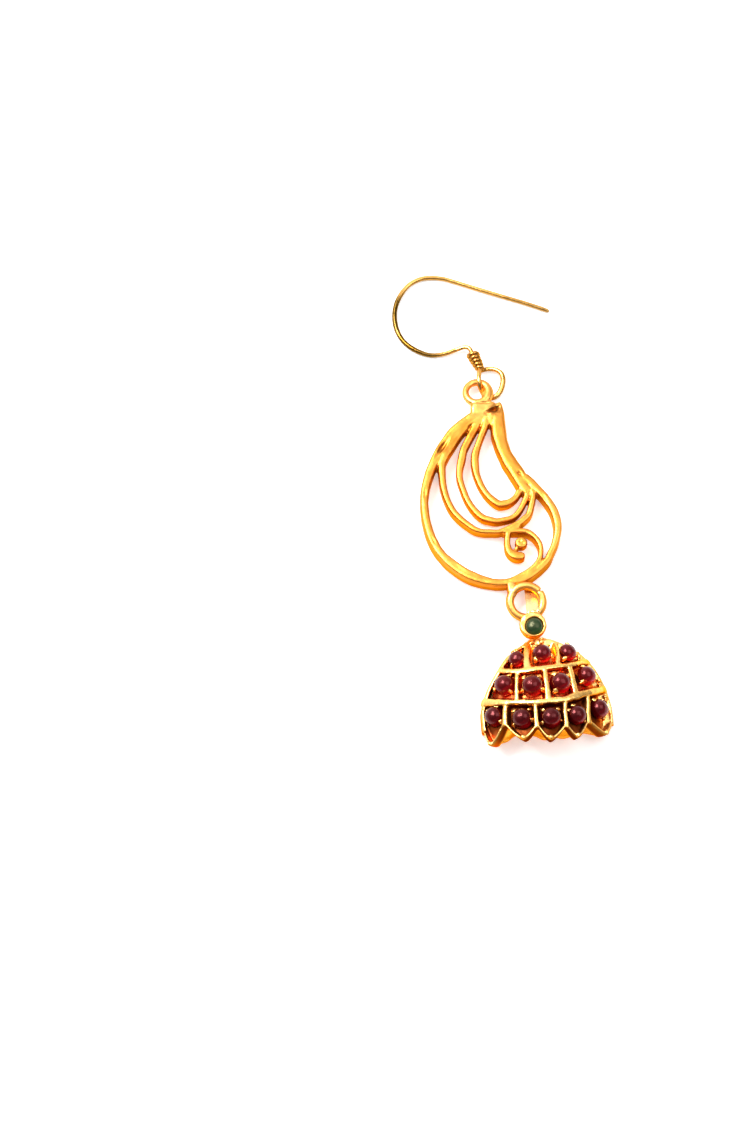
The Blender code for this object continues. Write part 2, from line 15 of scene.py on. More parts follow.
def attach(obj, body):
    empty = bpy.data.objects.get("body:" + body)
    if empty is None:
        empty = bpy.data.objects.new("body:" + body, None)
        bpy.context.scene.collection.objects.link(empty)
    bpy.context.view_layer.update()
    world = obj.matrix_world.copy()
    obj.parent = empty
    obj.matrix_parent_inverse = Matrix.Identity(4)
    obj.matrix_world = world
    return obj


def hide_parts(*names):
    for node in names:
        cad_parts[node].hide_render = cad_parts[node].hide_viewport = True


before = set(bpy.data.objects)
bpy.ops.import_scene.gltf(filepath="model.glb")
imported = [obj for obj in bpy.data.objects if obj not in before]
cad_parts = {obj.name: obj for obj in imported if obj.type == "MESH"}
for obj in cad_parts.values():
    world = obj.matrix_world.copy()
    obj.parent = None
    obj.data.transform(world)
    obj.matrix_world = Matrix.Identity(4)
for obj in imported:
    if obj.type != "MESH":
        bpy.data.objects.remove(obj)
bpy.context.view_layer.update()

MM = 0.001
CENTRE_X, CENTRE_Y = -0.95266, 0.75137

# --- the photograph's camera, and the surface below ---
PHOTO_W, PHOTO_H = 750, 1125
FOCAL_PX = 2500.0
TILT = math.radians(22.0)
EYE = (-18.49392382, -138.95380752, 324.5143491)

# ------------------------------------------------------------------ tables: hook
WIRE_R = 0.315
# x, y, z, share of the wire's full radius
HOOK = (
    (6.87, 31.55, 0.26, 0.50),
    (6.62, 31.65, 0.28, 0.84),
    (5.90, 31.93, 0.30, 1.00),
    (5.23, 32.19, 0.30, 1.00),
    (3.00, 33.00, 0.30, 1.00),
    (0.84, 33.72, 0.30, 1.00),
    (-3.20, 35.08, 0.30, 1.00),
    (-7.11, 36.44, 0.30, 0.99),
    (-8.53, 36.87, 0.30, 1.00),
    (-10.14, 37.02, 0.31, 1.05),
    (-11.90, 36.79, 0.32, 1.08),
    (-13.66, 35.70, 0.32, 1.06),
    (-15.02, 33.64, 0.34, 1.14),
    (-15.62, 31.42, 0.34, 1.10),
    (-15.46, 28.97, 0.35, 1.19),
    (-14.56, 26.90, 0.34, 1.12),
    (-13.00, 25.40, 0.34, 1.16),
    (-10.75, 24.42, 0.33, 1.06),
    (-8.66, 24.49, 0.42, 1.00),
    (-6.89, 25.05, 0.62, 1.00),
    (-5.76, 25.36, 0.85, 1.00),
    (-5.08, 25.28, 0.99, 1.00),
    (-4.76, 24.98, 1.03, 0.98),
)
COIL_TOP = (-4.55, 24.53, 1.05)
COIL_FOOT = (-3.48, 22.16, 1.12)
COIL_END = (-3.30, 21.55, 1.26)
COIL_R_TOP, COIL_R_FOOT = 0.68, 0.30
COIL_TURNS, COIL_PITCH = 5.0, 0.575
HOOK_LOOP = (
    (-3.42, 21.70, 1.34),
    (-3.50, 21.05, 1.68),
    (-3.60, 20.07, 1.96),
    (-3.58, 19.21, 1.84),
    (-3.34, 18.50, 1.20),
    (-2.80, 17.87, 0.51),
    (-1.95, 17.50, 0.31),
    (-1.04, 17.82, 0.40),
    (-0.37, 18.79, 0.50),
    (-0.07, 20.17, 0.62),
    (-0.30, 21.25, 0.70),
    (-1.13, 21.88, 0.66),
    (-2.28, 22.06, 0.52),
)

# ------------------------------------------------------------------ tables: casting
CAST_Z = 2.10
# x, y, width, height of the front face below CAST_Z
RIM = (
    (-3.00, 15.00, 1.90, 0.00),
    (-3.81, 14.29, 1.86, 0.00),
    (-5.90, 12.70, 1.80, 0.00),
    (-7.77, 10.84, 1.75, 0.02),
    (-10.08, 6.95, 1.43, 0.04),
    (-11.28, 3.24, 1.27, 0.02),
    (-11.53, -0.14, 1.20, 0.00),
    (-10.90, -3.79, 1.28, 0.00),
    (-9.44, -6.96, 1.33, 0.02),
    (-6.96, -9.56, 1.40, 0.00),
    (-4.00, -11.11, 1.31, 0.02),
    (-0.74, -11.55, 1.23, 0.05),
    (2.45, -10.80, 1.34, 0.00),
    (5.23, -8.55, 1.15, 0.00),
    (6.07, -6.96, 1.02, 0.03),
    (6.70, -5.45, 1.03, 0.03),
    (7.06, -3.86, 1.12, 0.00),
    (7.04, -2.19, 1.24, 0.00),
    (6.55, -0.52, 1.27, 0.00),
    (5.72, 0.98, 1.27, 0.03),
    (4.73, 2.27, 1.28, 0.05),
    (3.40, 3.70, 1.44, 0.00),
    (2.39, 4.78, 1.50, 0.00),
)
STRIP = (
    (-0.62, 16.10, 0.96, 0.06),
    (-0.80, 15.59, 1.20, 0.00),
    (-0.94, 14.40, 1.85, 0.00),
    (-0.96, 12.52, 2.14, -0.04),
    (-0.78, 10.64, 2.16, -0.04),
    (-0.29, 8.77, 2.04, 0.00),
    (0.46, 7.06, 2.13, 0.00),
    (1.37, 5.51, 2.27, 0.00),
    (2.16, 4.04, 2.17, 0.00),
    (2.69, 2.73, 1.84, 0.03),
    (2.81, 1.95, 1.30, 0.10),
)
ARC_1 = (
    (-2.50, 13.90, 1.30, 0.05),
    (-2.95, 12.14, 0.98, 0.10),
    (-3.94, 9.40, 0.96, 0.12),
    (-4.31, 7.77, 1.19, 0.13),
    (-4.29, 6.06, 1.14, 0.13),
    (-4.00, 4.44, 1.01, 0.13),
    (-2.83, 2.01, 1.00, 0.13),
    (-1.28, 0.46, 1.16, 0.10),
    (-0.44, 0.37, 1.18, 0.10),
    (0.48, 0.67, 1.03, 0.10),
    (1.34, 1.44, 0.92, 0.10),
    (1.90, 2.60, 0.90, 0.10),
)
ARC_2 = (
    (-3.45, 14.00, 1.40, 0.06),
    (-4.22, 12.32, 1.20, 0.14),
    (-5.80, 9.04, 1.10, 0.16),
    (-6.24, 7.32, 1.19, 0.16),
    (-6.51, 5.46, 1.02, 0.17),
    (-6.41, 3.84, 0.94, 0.17),
    (-5.35, 0.77, 0.93, 0.17),
    (-3.70, -1.45, 1.03, 0.17),
    (-2.38, -2.01, 1.01, 0.15),
    (-0.98, -2.16, 0.88, 0.15),
    (1.21, -1.37, 0.80, 0.15),
    (2.70, 1.15, 0.84, 0.15),
    (2.91, 2.38, 0.98, 0.12),
)
ARC_3 = (
    (-5.30, 12.60, 1.20, 0.10),
    (-6.70, 11.02, 1.31, 0.12),
    (-7.79, 9.15, 1.30, 0.12),
    (-8.66, 7.59, 1.25, 0.08),
    (-9.03, 6.04, 1.13, 0.05),
    (-8.74, 2.49, 1.00, 0.08),
    (-7.45, -0.80, 0.97, 0.08),
    (-5.06, -3.13, 0.96, 0.07),
    (-3.67, -3.80, 0.84, 0.07),
    (-2.27, -3.92, 0.78, 0.07),
    (-0.87, -3.83, 0.77, 0.07),
    (1.46, -2.71, 0.97, 0.05),
    (2.48, -1.91, 1.03, 0.05),
    (3.19, -0.95, 0.98, 0.07),
    (3.77, 1.42, 0.85, 0.08),
    (3.54, 2.64, 0.85, 0.08),
)
SCROLL = (
    (-0.80, -3.88, 0.67, 0.06),
    (0.70, -3.84, 0.74, 0.04),
    (2.20, -3.76, 0.91, 0.03),
    (3.17, -4.09, 0.89, 0.03),
    (3.99, -4.85, 0.84, 0.03),
    (4.53, -5.80, 0.79, 0.03),
    (4.68, -6.81, 0.74, 0.03),
    (4.45, -7.94, 0.75, 0.03),
    (3.89, -8.91, 0.79, 0.03),
    (3.04, -9.74, 0.84, 0.02),
    (1.92, -10.36, 0.76, 0.03),
    (0.90, -10.86, 0.62, 0.05),
    (-0.10, -11.16, 0.46, 0.16),
)
CURL = (
    (0.30, -3.60, 0.70, 0.06),
    (0.10, -4.30, 0.84, 0.10),
    (0.00, -4.95, 0.90, 0.13),
    (0.02, -5.87, 0.96, 0.15),
    (0.22, -6.72, 1.10, 0.15),
    (0.66, -7.28, 1.24, 0.14),
    (1.24, -7.55, 1.36, 0.13),
    (1.85, -7.50, 1.42, 0.14),
    (2.36, -7.24, 1.34, 0.17),
)
CURL_STEM = ((1.46, -5.95, 0.60, 0.24), (1.20, -6.50, 0.52, 0.30), (0.92, -7.00, 0.70, 0.24))
CURL_BEAD = (1.94, -5.58, 0.87, 2.04)             # x, y, radius, top
# the lip that runs along the inner side of the rim's lower left
LIP = (
    (-9.95, -6.00, 0.50, 0.26),
    (-9.05, -7.10, 0.60, 0.08),
    (-8.00, -8.06, 0.66, 0.00),
    (-6.70, -9.12, 0.68, -0.02),
    (-5.40, -9.98, 0.66, -0.02),
    (-4.00, -10.62, 0.60, 0.02),
    (-2.60, -11.05, 0.50, 0.10),
    (-1.40, -11.40, 0.40, 0.30),
)
# hollows in the front face: x, y, half length, half width, direction in degrees, depth
HOLLOWS = (
    (-9.00, 8.95, 1.45, 0.30, 57.0, 0.46),
    (1.78, -5.40, 0.16, 0.10, 70.0, 0.14),
    (2.16, -5.78, 0.12, 0.10, 10.0, 0.12),
    (1.90, 4.95, 0.42, 0.17, -50.0, 0.30),
    (-1.72, 14.92, 0.95, 0.19, 22.0, 0.66),
    (-1.30, 14.86, 0.40, 0.26, 22.0, 0.30),
    (-2.90, 16.02, 1.05, 0.15, 2.0, 0.26),
    (-0.95, -3.20, 0.30, 0.14, 20.0, 0.10),
    (3.10, 3.30, 0.45, 0.14, -55.0, 0.12),
    (5.35, 1.15, 0.80, 0.14, -60.0, 0.07),
    (-11.45, 1.90, 0.90, 0.20, 88.0, 0.07),
    (-10.35, -5.30, 0.80, 0.20, -62.0, 0.06),
)
# height of the bars' undersides
BAR_FOOT = {"rim": 0.0, "arc_1": 0.42, "arc_2": 0.40, "arc_3": 0.22, "curl": 0.35, "stem": 0.6}
TOP_RING = (-3.86, 17.92, 1.65, 1.75)
TOP_RING_Z = (0.96, 1.44)
LINK = (2.45, -14.30, 2.26, 2.20)
LINK_Z = (1.00, 1.90)
LINK_WIRE_R = 0.59
RING_WIRE_R = 0.52
# degrees round the ring, thickness as a share of its wire
TOP_RING_WIRE = ((-180, 0.92), (-120, 1.02), (-70, 1.18), (-30, 1.34), (0, 1.36), (30, 1.24), (70, 1.04), (110, 0.98), (150, 0.92), (180, 0.92))

# ------------------------------------------------------------------ tables: drop
DROP_ORIGIN = Vector((3.837, -19.767, 1.000))
DROP_END = Vector((4.911, -34.038, 0.000))
AXIS_X, AXIS_DEPTH = -0.35, 5.33
WALL, FLOOR, BACK = 1.15, 0.55, 0.60
EDGE_W, PETAL_W = (0.78, 0.58), 0.60
PROFILE = (
    (-1.0, 4.90),
    (0.0, 5.60),
    (1.0, 6.80),
    (2.0, 7.80),
    (3.5, 8.95),
    (5.0, 9.75),
    (7.0, 10.50),
    (9.0, 10.95),
    (11.0, 11.20),
    (16.0, 11.25),
)
OUTLINE = (
    (-0.4, -6.0, 12.0),
    (0.3, -12.0, 30.0),
    (1.3, -21.5, 43.0),
    (2.6, -31.3, 50.0),
    (4.4, -36.6, 55.0),
    (6.0, -41.5, 57.2),
    (7.6, -45.8, 58.6),
    (9.0, -48.8, 59.3),
    (10.4, -50.2, 59.8),
    (13.0, -49.8, 59.7),
)
# angle, s, width of the two raised bands
BAND_1 = (
    (-36.0, 4.55, 0.84),
    (-28.0, 4.95, 0.76),
    (-21.5, 5.21, 0.74),
    (-10.6, 5.31, 0.86),
    (4.4, 5.16, 0.74),
    (20.2, 4.92, 0.62),
    (30.0, 4.60, 0.74),
    (38.6, 4.16, 0.66),
    (46.0, 3.85, 0.84),
    (53.5, 3.55, 0.80),
)
BAND_2 = (
    (-49.0, 8.75, 1.02),
    (-40.0, 9.20, 1.02),
    (-32.0, 9.50, 0.92),
    (-26.0, 9.72, 0.80),
    (-20.0, 9.89, 0.66),
    (-14.0, 10.05, 0.82),
    (-8.7, 10.19, 0.72),
    (-3.0, 10.24, 0.84),
    (2.4, 10.25, 0.66),
    (9.0, 10.12, 0.90),
    (16.3, 9.97, 0.84),
    (24.0, 9.52, 1.02),
    (31.2, 9.10, 0.92),
    (40.0, 8.68, 1.00),
    (49.0, 8.22, 0.92),
    (58.0, 7.75, 1.10),
)
# angle and s at the top, angle and s at the foot, width at the top and foot
DIVIDERS = (
    (-11.6, 0.3, -10.2, 5.2, 0.66, 1.12),
    (25.0, 0.7, 14.6, 5.0, 0.60, 0.66),
    (-18.2, 5.2, -19.8, 9.9, 0.58, 0.66),
    (3.5, 5.1, 3.0, 10.2, 0.60, 0.92),
    (24.9, 4.8, 24.9, 9.5, 0.72, 0.84),
    (-28.4, 9.6, -30.2, 12.9, 0.60, 0.86),
    (-6.8, 10.2, -6.6, 13.8, 0.52, 0.76),
    (15.0, 10.0, 14.0, 14.0, 0.52, 0.72),
    (34.2, 8.9, 32.2, 13.4, 0.52, 0.74),
)
PETALS = (
    (-42.8, 15.25, -30.2, 12.60),
    (-17.0, 15.30, -6.6, 13.55),
    (2.1, 15.70, 14.0, 13.75),
    (21.9, 15.45, 31.8, 13.10),
    (47.5, 14.70, 59.3, 12.40),
)
PETAL_START = (-50.4, 12.10)
BACK_EDGE = (
    (-8.05, 13.2),
    (-6.93, 14.30),
    (-5.40, 14.15),
    (-4.18, 13.43),
    (-1.82, 13.62),
    (-0.60, 14.25),
    (0.50, 14.28),
    (1.25, 14.08),
    (2.20, 14.30),
    (3.83, 13.98),
    (4.95, 13.75),
    (6.90, 14.25),
    (7.75, 14.30),
    (8.60, 13.1),
)
CUP_X, CUP_S, CUP_R = -0.50, -1.76, 1.84
CUP_BACK, CUP_FLOOR, CUP_TOP = 0.47, 1.02, 1.80
SEAT_X, SEAT_S, SEAT_R = -0.34, -1.53, 1.31
GREEN_R, GREEN_H = 1.33, 1.30
RED_H, SEAT_GAP, LEAN = 1.70, 0.06, 0.45
STRAP_W, STRAP_T = 1.72, 0.30
STRAP_PATH = (
    (-18.10, 1.62),
    (-17.62, 1.02),
    (-17.10, 0.46),
    (-16.50, 0.24),
    (-15.40, 0.20),
    (-14.10, 0.24),
    (-12.90, 0.30),
    (-12.36, 0.42),
    (-12.18, 0.68),
    (-12.44, 0.92),
    (-13.60, 1.26),
    (-15.00, 1.86),
    (-16.00, 2.34),
    (-16.80, 2.66),
)
STRAP_X = (3.12, 3.34)
# angle, s, size of the loose lumps of metal along the dome's right edge and under its neck
LUMPS = (
    (40.0, 1.60, 0.30),
    (44.5, 2.50, 0.40),
    (46.0, 3.30, 0.34),
    (48.5, 3.45, 0.28),
    (41.0, 3.35, 0.26),
    (49.5, 5.10, 0.36),
    (46.5, 4.75, 0.32),
    (53.5, 6.60, 0.30),
    (52.0, 7.20, 0.26),
    (8.0, 0.60, 0.30),
    (-3.0, 0.55, 0.26),
    (55.5, 9.00, 0.30),
    (54.0, 9.60, 0.26),
)
# angle, s, radius of the stone's foot, radius of its dome
RED_STONES = (
    (-20.3, 3.45, 1.14, 1.12),
    (3.9, 3.05, 1.34, 1.30),
    (31.2, 2.80, 1.24, 1.24),
    (-29.8, 7.05, 1.50, 1.36),
    (-7.7, 7.75, 1.55, 1.44),
    (14.2, 7.60, 1.52, 1.38),
    (40.4, 6.30, 1.46, 1.34),
    (-39.2, 11.10, 1.45, 1.34),
    (-17.2, 12.10, 1.52, 1.40),
    (3.8, 12.40, 1.52, 1.38),
    (23.9, 12.10, 1.38, 1.34),
    (46.0, 10.90, 1.44, 1.34),
)
# degrees round the stone, distance from its middle and size of each grain that holds it
GRAINS = (
    ((177, 1.38, 0.20), (247, 1.40, 0.22), (268, 1.40, 0.26), (125, 1.30, 0.18)),
    ((237, 1.52, 0.26), (136, 1.38, 0.26), (311, 1.60, 0.24), (23, 1.50, 0.24)),
    ((287, 1.50, 0.22), (322, 1.50, 0.24), (6, 1.48, 0.26), (130, 1.46, 0.20)),
    ((230, 1.60, 0.20), (305, 1.50, 0.20), (168, 1.56, 0.22), (51, 1.50, 0.26)),
    ((232, 1.66, 0.26), (312, 1.58, 0.24), (154, 1.56, 0.26), (30, 1.62, 0.24)),
    ((239, 1.56, 0.26), (318, 1.60, 0.34), (2, 1.56, 0.24), (126, 1.56, 0.24)),
    ((257, 1.46, 0.22), (320, 1.50, 0.22), (13, 1.52, 0.24), (138, 1.56, 0.22)),
    ((222, 1.50, 0.24), (290, 1.44, 0.26), (160, 1.50, 0.18), (44, 1.52, 0.22)),
    ((227, 1.58, 0.26), (318, 1.56, 0.26), (146, 1.60, 0.18), (20, 1.58, 0.22)),
    ((226, 1.50, 0.24), (316, 1.50, 0.26), (150, 1.56, 0.16), (24, 1.56, 0.16)),
    ((205, 1.50, 0.22), (252, 1.44, 0.24), (322, 1.46, 0.20), (40, 1.48, 0.22)),
    ((236, 1.46, 0.24), (300, 1.46, 0.24), (60, 1.52, 0.24), (8, 1.50, 0.20)),
)


# ------------------------------------------------------------------ meshes
def solid(name, points, faces):
    """A mesh object in millimetres with its faces turned outwards."""
    mesh = bpy.data.meshes.new(name)
    mesh.from_pydata([tuple(p) for p in points], [], [tuple(f) for f in faces])
    form = bmesh.new()
    form.from_mesh(mesh)
    bmesh.ops.recalc_face_normals(form, faces=form.faces)
    if form.calc_volume(signed=True) < 0:
        bmesh.ops.reverse_faces(form, faces=form.faces)
    form.to_mesh(mesh)
    form.free()
    made = bpy.data.objects.new(name, mesh)
    bpy.context.scene.collection.objects.link(made)
    return made


def smooth_rows(rows, steps):
    """The rows joined by a curve through them, with this many steps from row to row."""
    p = np.array(rows, float)
    p = np.vstack([2 * p[0] - p[1], p, 2 * p[-1] - p[-2]])
    out = []
    for a, b, c, d in zip(p, p[1:], p[2:], p[3:]):
        for k in np.arange(steps) / steps:
            out.append(0.5 * (2 * b + (c - a) * k + (2 * a - 5 * b + 4 * c - d) * k**2 + (3 * b - a - 3 * c + d) * k**3))
    return np.array([*out, p[-2]])


def even_rows(rows, spacing, dims=2):
    """The curve through the rows, in equal steps of about this length."""
    fine = smooth_rows(rows, 24)
    far = np.concatenate([[0], np.cumsum(np.linalg.norm(np.diff(fine[:, :dims], axis=0), axis=1))])
    at = np.linspace(0, far[-1], max(4, int(far[-1] / spacing) + 1))
    return np.stack([np.interp(at, far, fine[:, c]) for c in range(fine.shape[1])], axis=1), at


def loft(name, sections, closed=False):
    sides, count = len(sections[0]), len(sections)
    points = [p for section in sections for p in section]
    faces = []
    for i in range(count if closed else count - 1):
        a, b = i * sides, (i + 1) % count * sides
        faces += [(a + j, a + (j + 1) % sides, b + (j + 1) % sides, b + j) for j in range(sides)]
    if not closed:
        faces += [tuple(range(sides)), tuple(range((count - 1) * sides, count * sides))]
    return solid(name, points, faces)


def bar_shape(half, low, high, sides=20, corner=0.42, flat=0.10):
    """A cast bar's section as offsets across and heights: a crowned front with soft corners and a flat back."""
    out = []
    for k in range(sides + 1):
        a = math.pi * k / sides
        c, s = math.cos(a), math.sin(a)
        u = math.copysign(abs(c) ** 0.46, c) * half
        rise = max(s, 0.0) ** 0.32
        out.append((u, low + flat + (high - low - flat) * rise if 0 < k < sides else low + flat))
    out += [(-half + 0.08, low), (half - 0.08, low)]
    return out


def strand(name, rows, low=0.03, spacing=0.22, wobble=0.035, seed=0.0):
    """A bar of the casting along rows of x, y, width, drop of its front below CAST_Z."""
    path, far = even_rows(rows, spacing)
    sections = []
    count = len(path)
    for i, (x, y, width, drop) in enumerate(path):
        a, b = path[max(i - 1, 0)], path[min(i + 1, count - 1)]
        along = Vector((b[0] - a[0], b[1] - a[1], 0)).normalized()
        aside = Vector((-along.y, along.x, 0))
        end = min(far[i], far[-1] - far[i]) / (width * 0.5)
        round_end = math.sqrt(max(0.05, 1 - (1 - min(end, 1.0)) ** 2))
        half = width / 2 * round_end * (1 + wobble * noise.noise(Vector((far[i] * 0.9, seed, 0))) * 1.6)
        lift = 0.05 * noise.noise(Vector((far[i] * 0.6, seed + 9, 3)))
        shift = 0.04 * noise.noise(Vector((far[i] * 0.5, seed + 5, 7)))
        shape = bar_shape(half, low, CAST_Z - drop + lift)
        sections.append([Vector((x, y, 0)) + aside * (u + shift) + Vector((0, 0, z)) for u, z in shape])
    return loft(name, sections)


def tube(name, path, radii, sides, closed=False, flatten=None):
    """A round wire along a path, its rings carried along without twist."""
    path = [Vector(p) for p in path]
    count = len(path)
    sections, normal, shade_side = [], None, 0.0
    frames = []
    for i, point in enumerate(path):
        before = path[i - 1] if i or closed else path[0]
        after = path[(i + 1) % count] if i < count - 1 or closed else path[-1]
        along = (after - before).normalized()
        if normal is None:
            normal = along.orthogonal().normalized()
        normal = (normal - along * normal.dot(along)).normalized()
        frames.append((point, normal.copy(), along.cross(normal)))
    for i, (point, n, c) in enumerate(frames):
        radius = radii[i] if hasattr(radii, "__len__") else radii
        sections.append([point + (n * math.cos(a) + c * math.sin(a)) * radius for a in (2 * math.pi * k / sides for k in range(sides))])
    return loft(name, sections, closed)


def blob(name, centre, radii, turn=0.0, rings=10, sides=16, rough=0.0, seed=0.0, frame_axes=None):
    """A small irregular drop of metal."""
    x_axis, y_axis, z_axis = frame_axes or (Vector((1, 0, 0)), Vector((0, 1, 0)), Vector((0, 0, 1)))
    points, faces = [], []
    for i in range(rings + 1):
        e = -math.pi / 2 + math.pi * i / rings
        for k in range(sides if 0 < i < rings else 1):
            a = 2 * math.pi * k / sides + turn
            d = Vector((math.cos(e) * math.cos(a), math.cos(e) * math.sin(a), math.sin(e)))
            r = 1 + rough * noise.noise(d * 1.3 + Vector((seed, seed * 0.7, 0)))
            points.append(centre + (x_axis * d.x * radii[0] + y_axis * d.y * radii[1] + z_axis * d.z * radii[2]) * r)
    first = lambda i: 0 if i == 0 else 1 + (i - 1) * sides
    for i in range(rings):
        for k in range(sides):
            m = (k + 1) % sides
            if i == 0:
                faces.append((0, 1 + m, 1 + k))
            elif i == rings - 1:
                faces.append((first(i) + k, first(i) + m, first(rings)))
            else:
                faces.append((first(i) + k, first(i) + m, first(i + 1) + m, first(i + 1) + k))
    return solid(name, points, faces)


def join(name, parts):
    """The parts as one mesh object."""
    points, faces = [], []
    for part in parts:
        base = len(points)
        points += [tuple(v.co) for v in part.data.vertices]
        faces += [tuple(base + i for i in p.vertices) for p in part.data.polygons]
        bpy.data.objects.remove(part)
    mesh = bpy.data.meshes.new(name)
    mesh.from_pydata(points, [], faces)
    made = bpy.data.objects.new(name, mesh)
    bpy.context.scene.collection.objects.link(made)
    return made


def applied(made):
    """The object with its modifiers worked into its mesh."""
    seen = made.evaluated_get(bpy.context.evaluated_depsgraph_get())
    mesh = bpy.data.meshes.new_from_object(seen)
    made.modifiers.clear()
    made.data = mesh
    return made


def cast(made, voxel, rounds, factor=0.5):
    """One skin over everything in the mesh, its joints and edges softened as in a cast and polished piece."""
    skin = made.modifiers.new("skin", "REMESH")
    skin.mode = "VOXEL"
    skin.voxel_size = voxel
    skin.use_smooth_shade = True
    soft = made.modifiers.new("soft", "SMOOTH")
    soft.factor = factor
    soft.iterations = rounds
    return applied(made)


def points_of(made):
    co = np.zeros(len(made.data.vertices) * 3)
    made.data.vertices.foreach_get("co", co)
    return co.reshape(-1, 3)


def normals_of(made):
    no = np.zeros(len(made.data.vertices) * 3, np.float32)
    made.data.vertices.foreach_get("normal", no)
    return no.reshape(-1, 3).astype(float)


def put_points(made, co):
    made.data.vertices.foreach_set("co", co.astype(np.float32).ravel())
    made.data.update()


def drop_stray(made, least=60):
    """Removes any speck that the skin left apart from the main body."""
    form = bmesh.new()
    form.from_mesh(made.data)
    form.verts.ensure_lookup_table()
    seen, keep = set(), []
    for start in form.verts:
        if start.index in seen:
            continue
        group, queue = [], [start]
        seen.add(start.index)
        while queue:
            v = queue.pop()
            group.append(v)
            for e in v.link_edges:
                w = e.other_vert(v)
                if w.index not in seen:
                    seen.add(w.index)
                    queue.append(w)
        if len(group) < least:
            keep += group
    if keep:
        bmesh.ops.delete(form, geom=keep, context="VERTS")
    form.to_mesh(made.data)
    form.free()
    return made


def seat(made, name_of_slot, *nodes):
    """Moves the finished piece to metres and hands it to the frame."""
    made.data.transform(Matrix.Scale(MM, 4) @ Matrix.Translation((-CENTRE_X, -CENTRE_Y, 0)))
    made.data.shade_smooth()
    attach(made, "root")
    if nodes:
        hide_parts(*nodes)
    return made


# ------------------------------------------------------------------ drop frame
DOWN = (DROP_END - DROP_ORIGIN).normalized()
ACROSS = Vector((0, 0, 1)).cross(DOWN).normalized()
OUT = DOWN.cross(ACROSS)


def drop_point(x, s, n):
    return DROP_ORIGIN + ACROSS * x + DOWN * s + OUT * n


def dome_point(angle, s, radius):
    a = math.radians(angle)
    return drop_point(AXIS_X + radius * math.sin(a), s, radius * math.cos(a) - AXIS_DEPTH)


PROFILE_FINE = smooth_rows(PROFILE, 10)


def top_radius(s):
    return float(np.interp(s, PROFILE_FINE[:, 0], PROFILE_FINE[:, 1]))


def rough_top(s):
    return float(np.interp(s, [r[0] for r in PROFILE], [r[1] for r in PROFILE]))


def floor_radius(angle, s):
    rise = (AXIS_DEPTH + 0.40) / math.cos(math.radians(angle))
    return min(rough_top(s) - 0.25, max(rough_top(s) - WALL, rise))


def inner_radius(angle, s):
    rise = (AXIS_DEPTH + 0.10) / math.cos(math.radians(angle))
    return min(floor_radius(angle, s) - 0.12, max(rough_top(s) - WALL - FLOOR, rise))


def depth_under_floor(point):
    p = point - DROP_ORIGIN
    x, n = p.dot(ACROSS) - AXIS_X, p.dot(OUT) + AXIS_DEPTH
    return floor_radius(math.degrees(math.atan2(x, n)), p.dot(DOWN)) - math.hypot(x, n)


def outline_at(s):
    return tuple(float(np.interp(s, [r[0] for r in OUTLINE], [r[c] for r in OUTLINE])) for c in (1, 2))


def petal_edge(angle):
    left = PETAL_START
    for tip_angle, tip, right_angle, right in PETALS:
        if angle <= right_angle:
            start, low = left if angle < tip_angle else (right_angle, right)
            k = max(0.0, min(1.0, (angle - start) / (tip_angle - start)))
            return low + (tip - low) * (0.35 * k + 0.65 * math.sin(k * math.pi / 2))
        left = (right_angle, right)
    return PETALS[-1][3]


def degrees_for(width, s):
    return math.degrees(width / top_radius(s))


def ridge(name, route, widths, proud, draft=0.22, seed=0.0, wave=0.0, deep=0.22):
    """A wall of the lattice along a route of angle and s, with rounded top corners and sides that flare to the floor."""
    sections, count = [], len(route)
    for i, ((angle, s), width) in enumerate(zip(route, widths)):
        a, b = route[max(i - 1, 0)], route[min(i + 1, count - 1)]
        radius = top_radius(s)
        along = Vector((math.radians(b[0] - a[0]) * radius, b[1] - a[1]))
        along.normalize()
        aside = Vector((-along.y, along.x))
        half = width / 2 * (1 + 0.10 * noise.noise(Vector((i * 0.23, seed, 1))))
        up = proud + wave * noise.noise(Vector((i * 0.31, seed + 4, 2)))
        shape = (
            (-half - draft, None),
            (-half - 0.05, -0.50),
            (-half, -0.16),
            (-half + 0.10, -0.03),
            (-half * 0.4, 0.02),
            (half * 0.4, 0.02),
            (half - 0.10, -0.03),
            (half, -0.16),
            (half + 0.05, -0.50),
            (half + draft, None),
        )
        ring = []
        for u, h in shape:
            at_angle = angle + math.degrees(aside.x * u / radius)
            at_s = s + aside.y * u
            r = floor_radius(at_angle, at_s) - deep if h is None else top_radius(at_s) + up + h
            ring.append(dome_point(at_angle, at_s, r))
        sections.append(ring)
    return loft(name, sections)


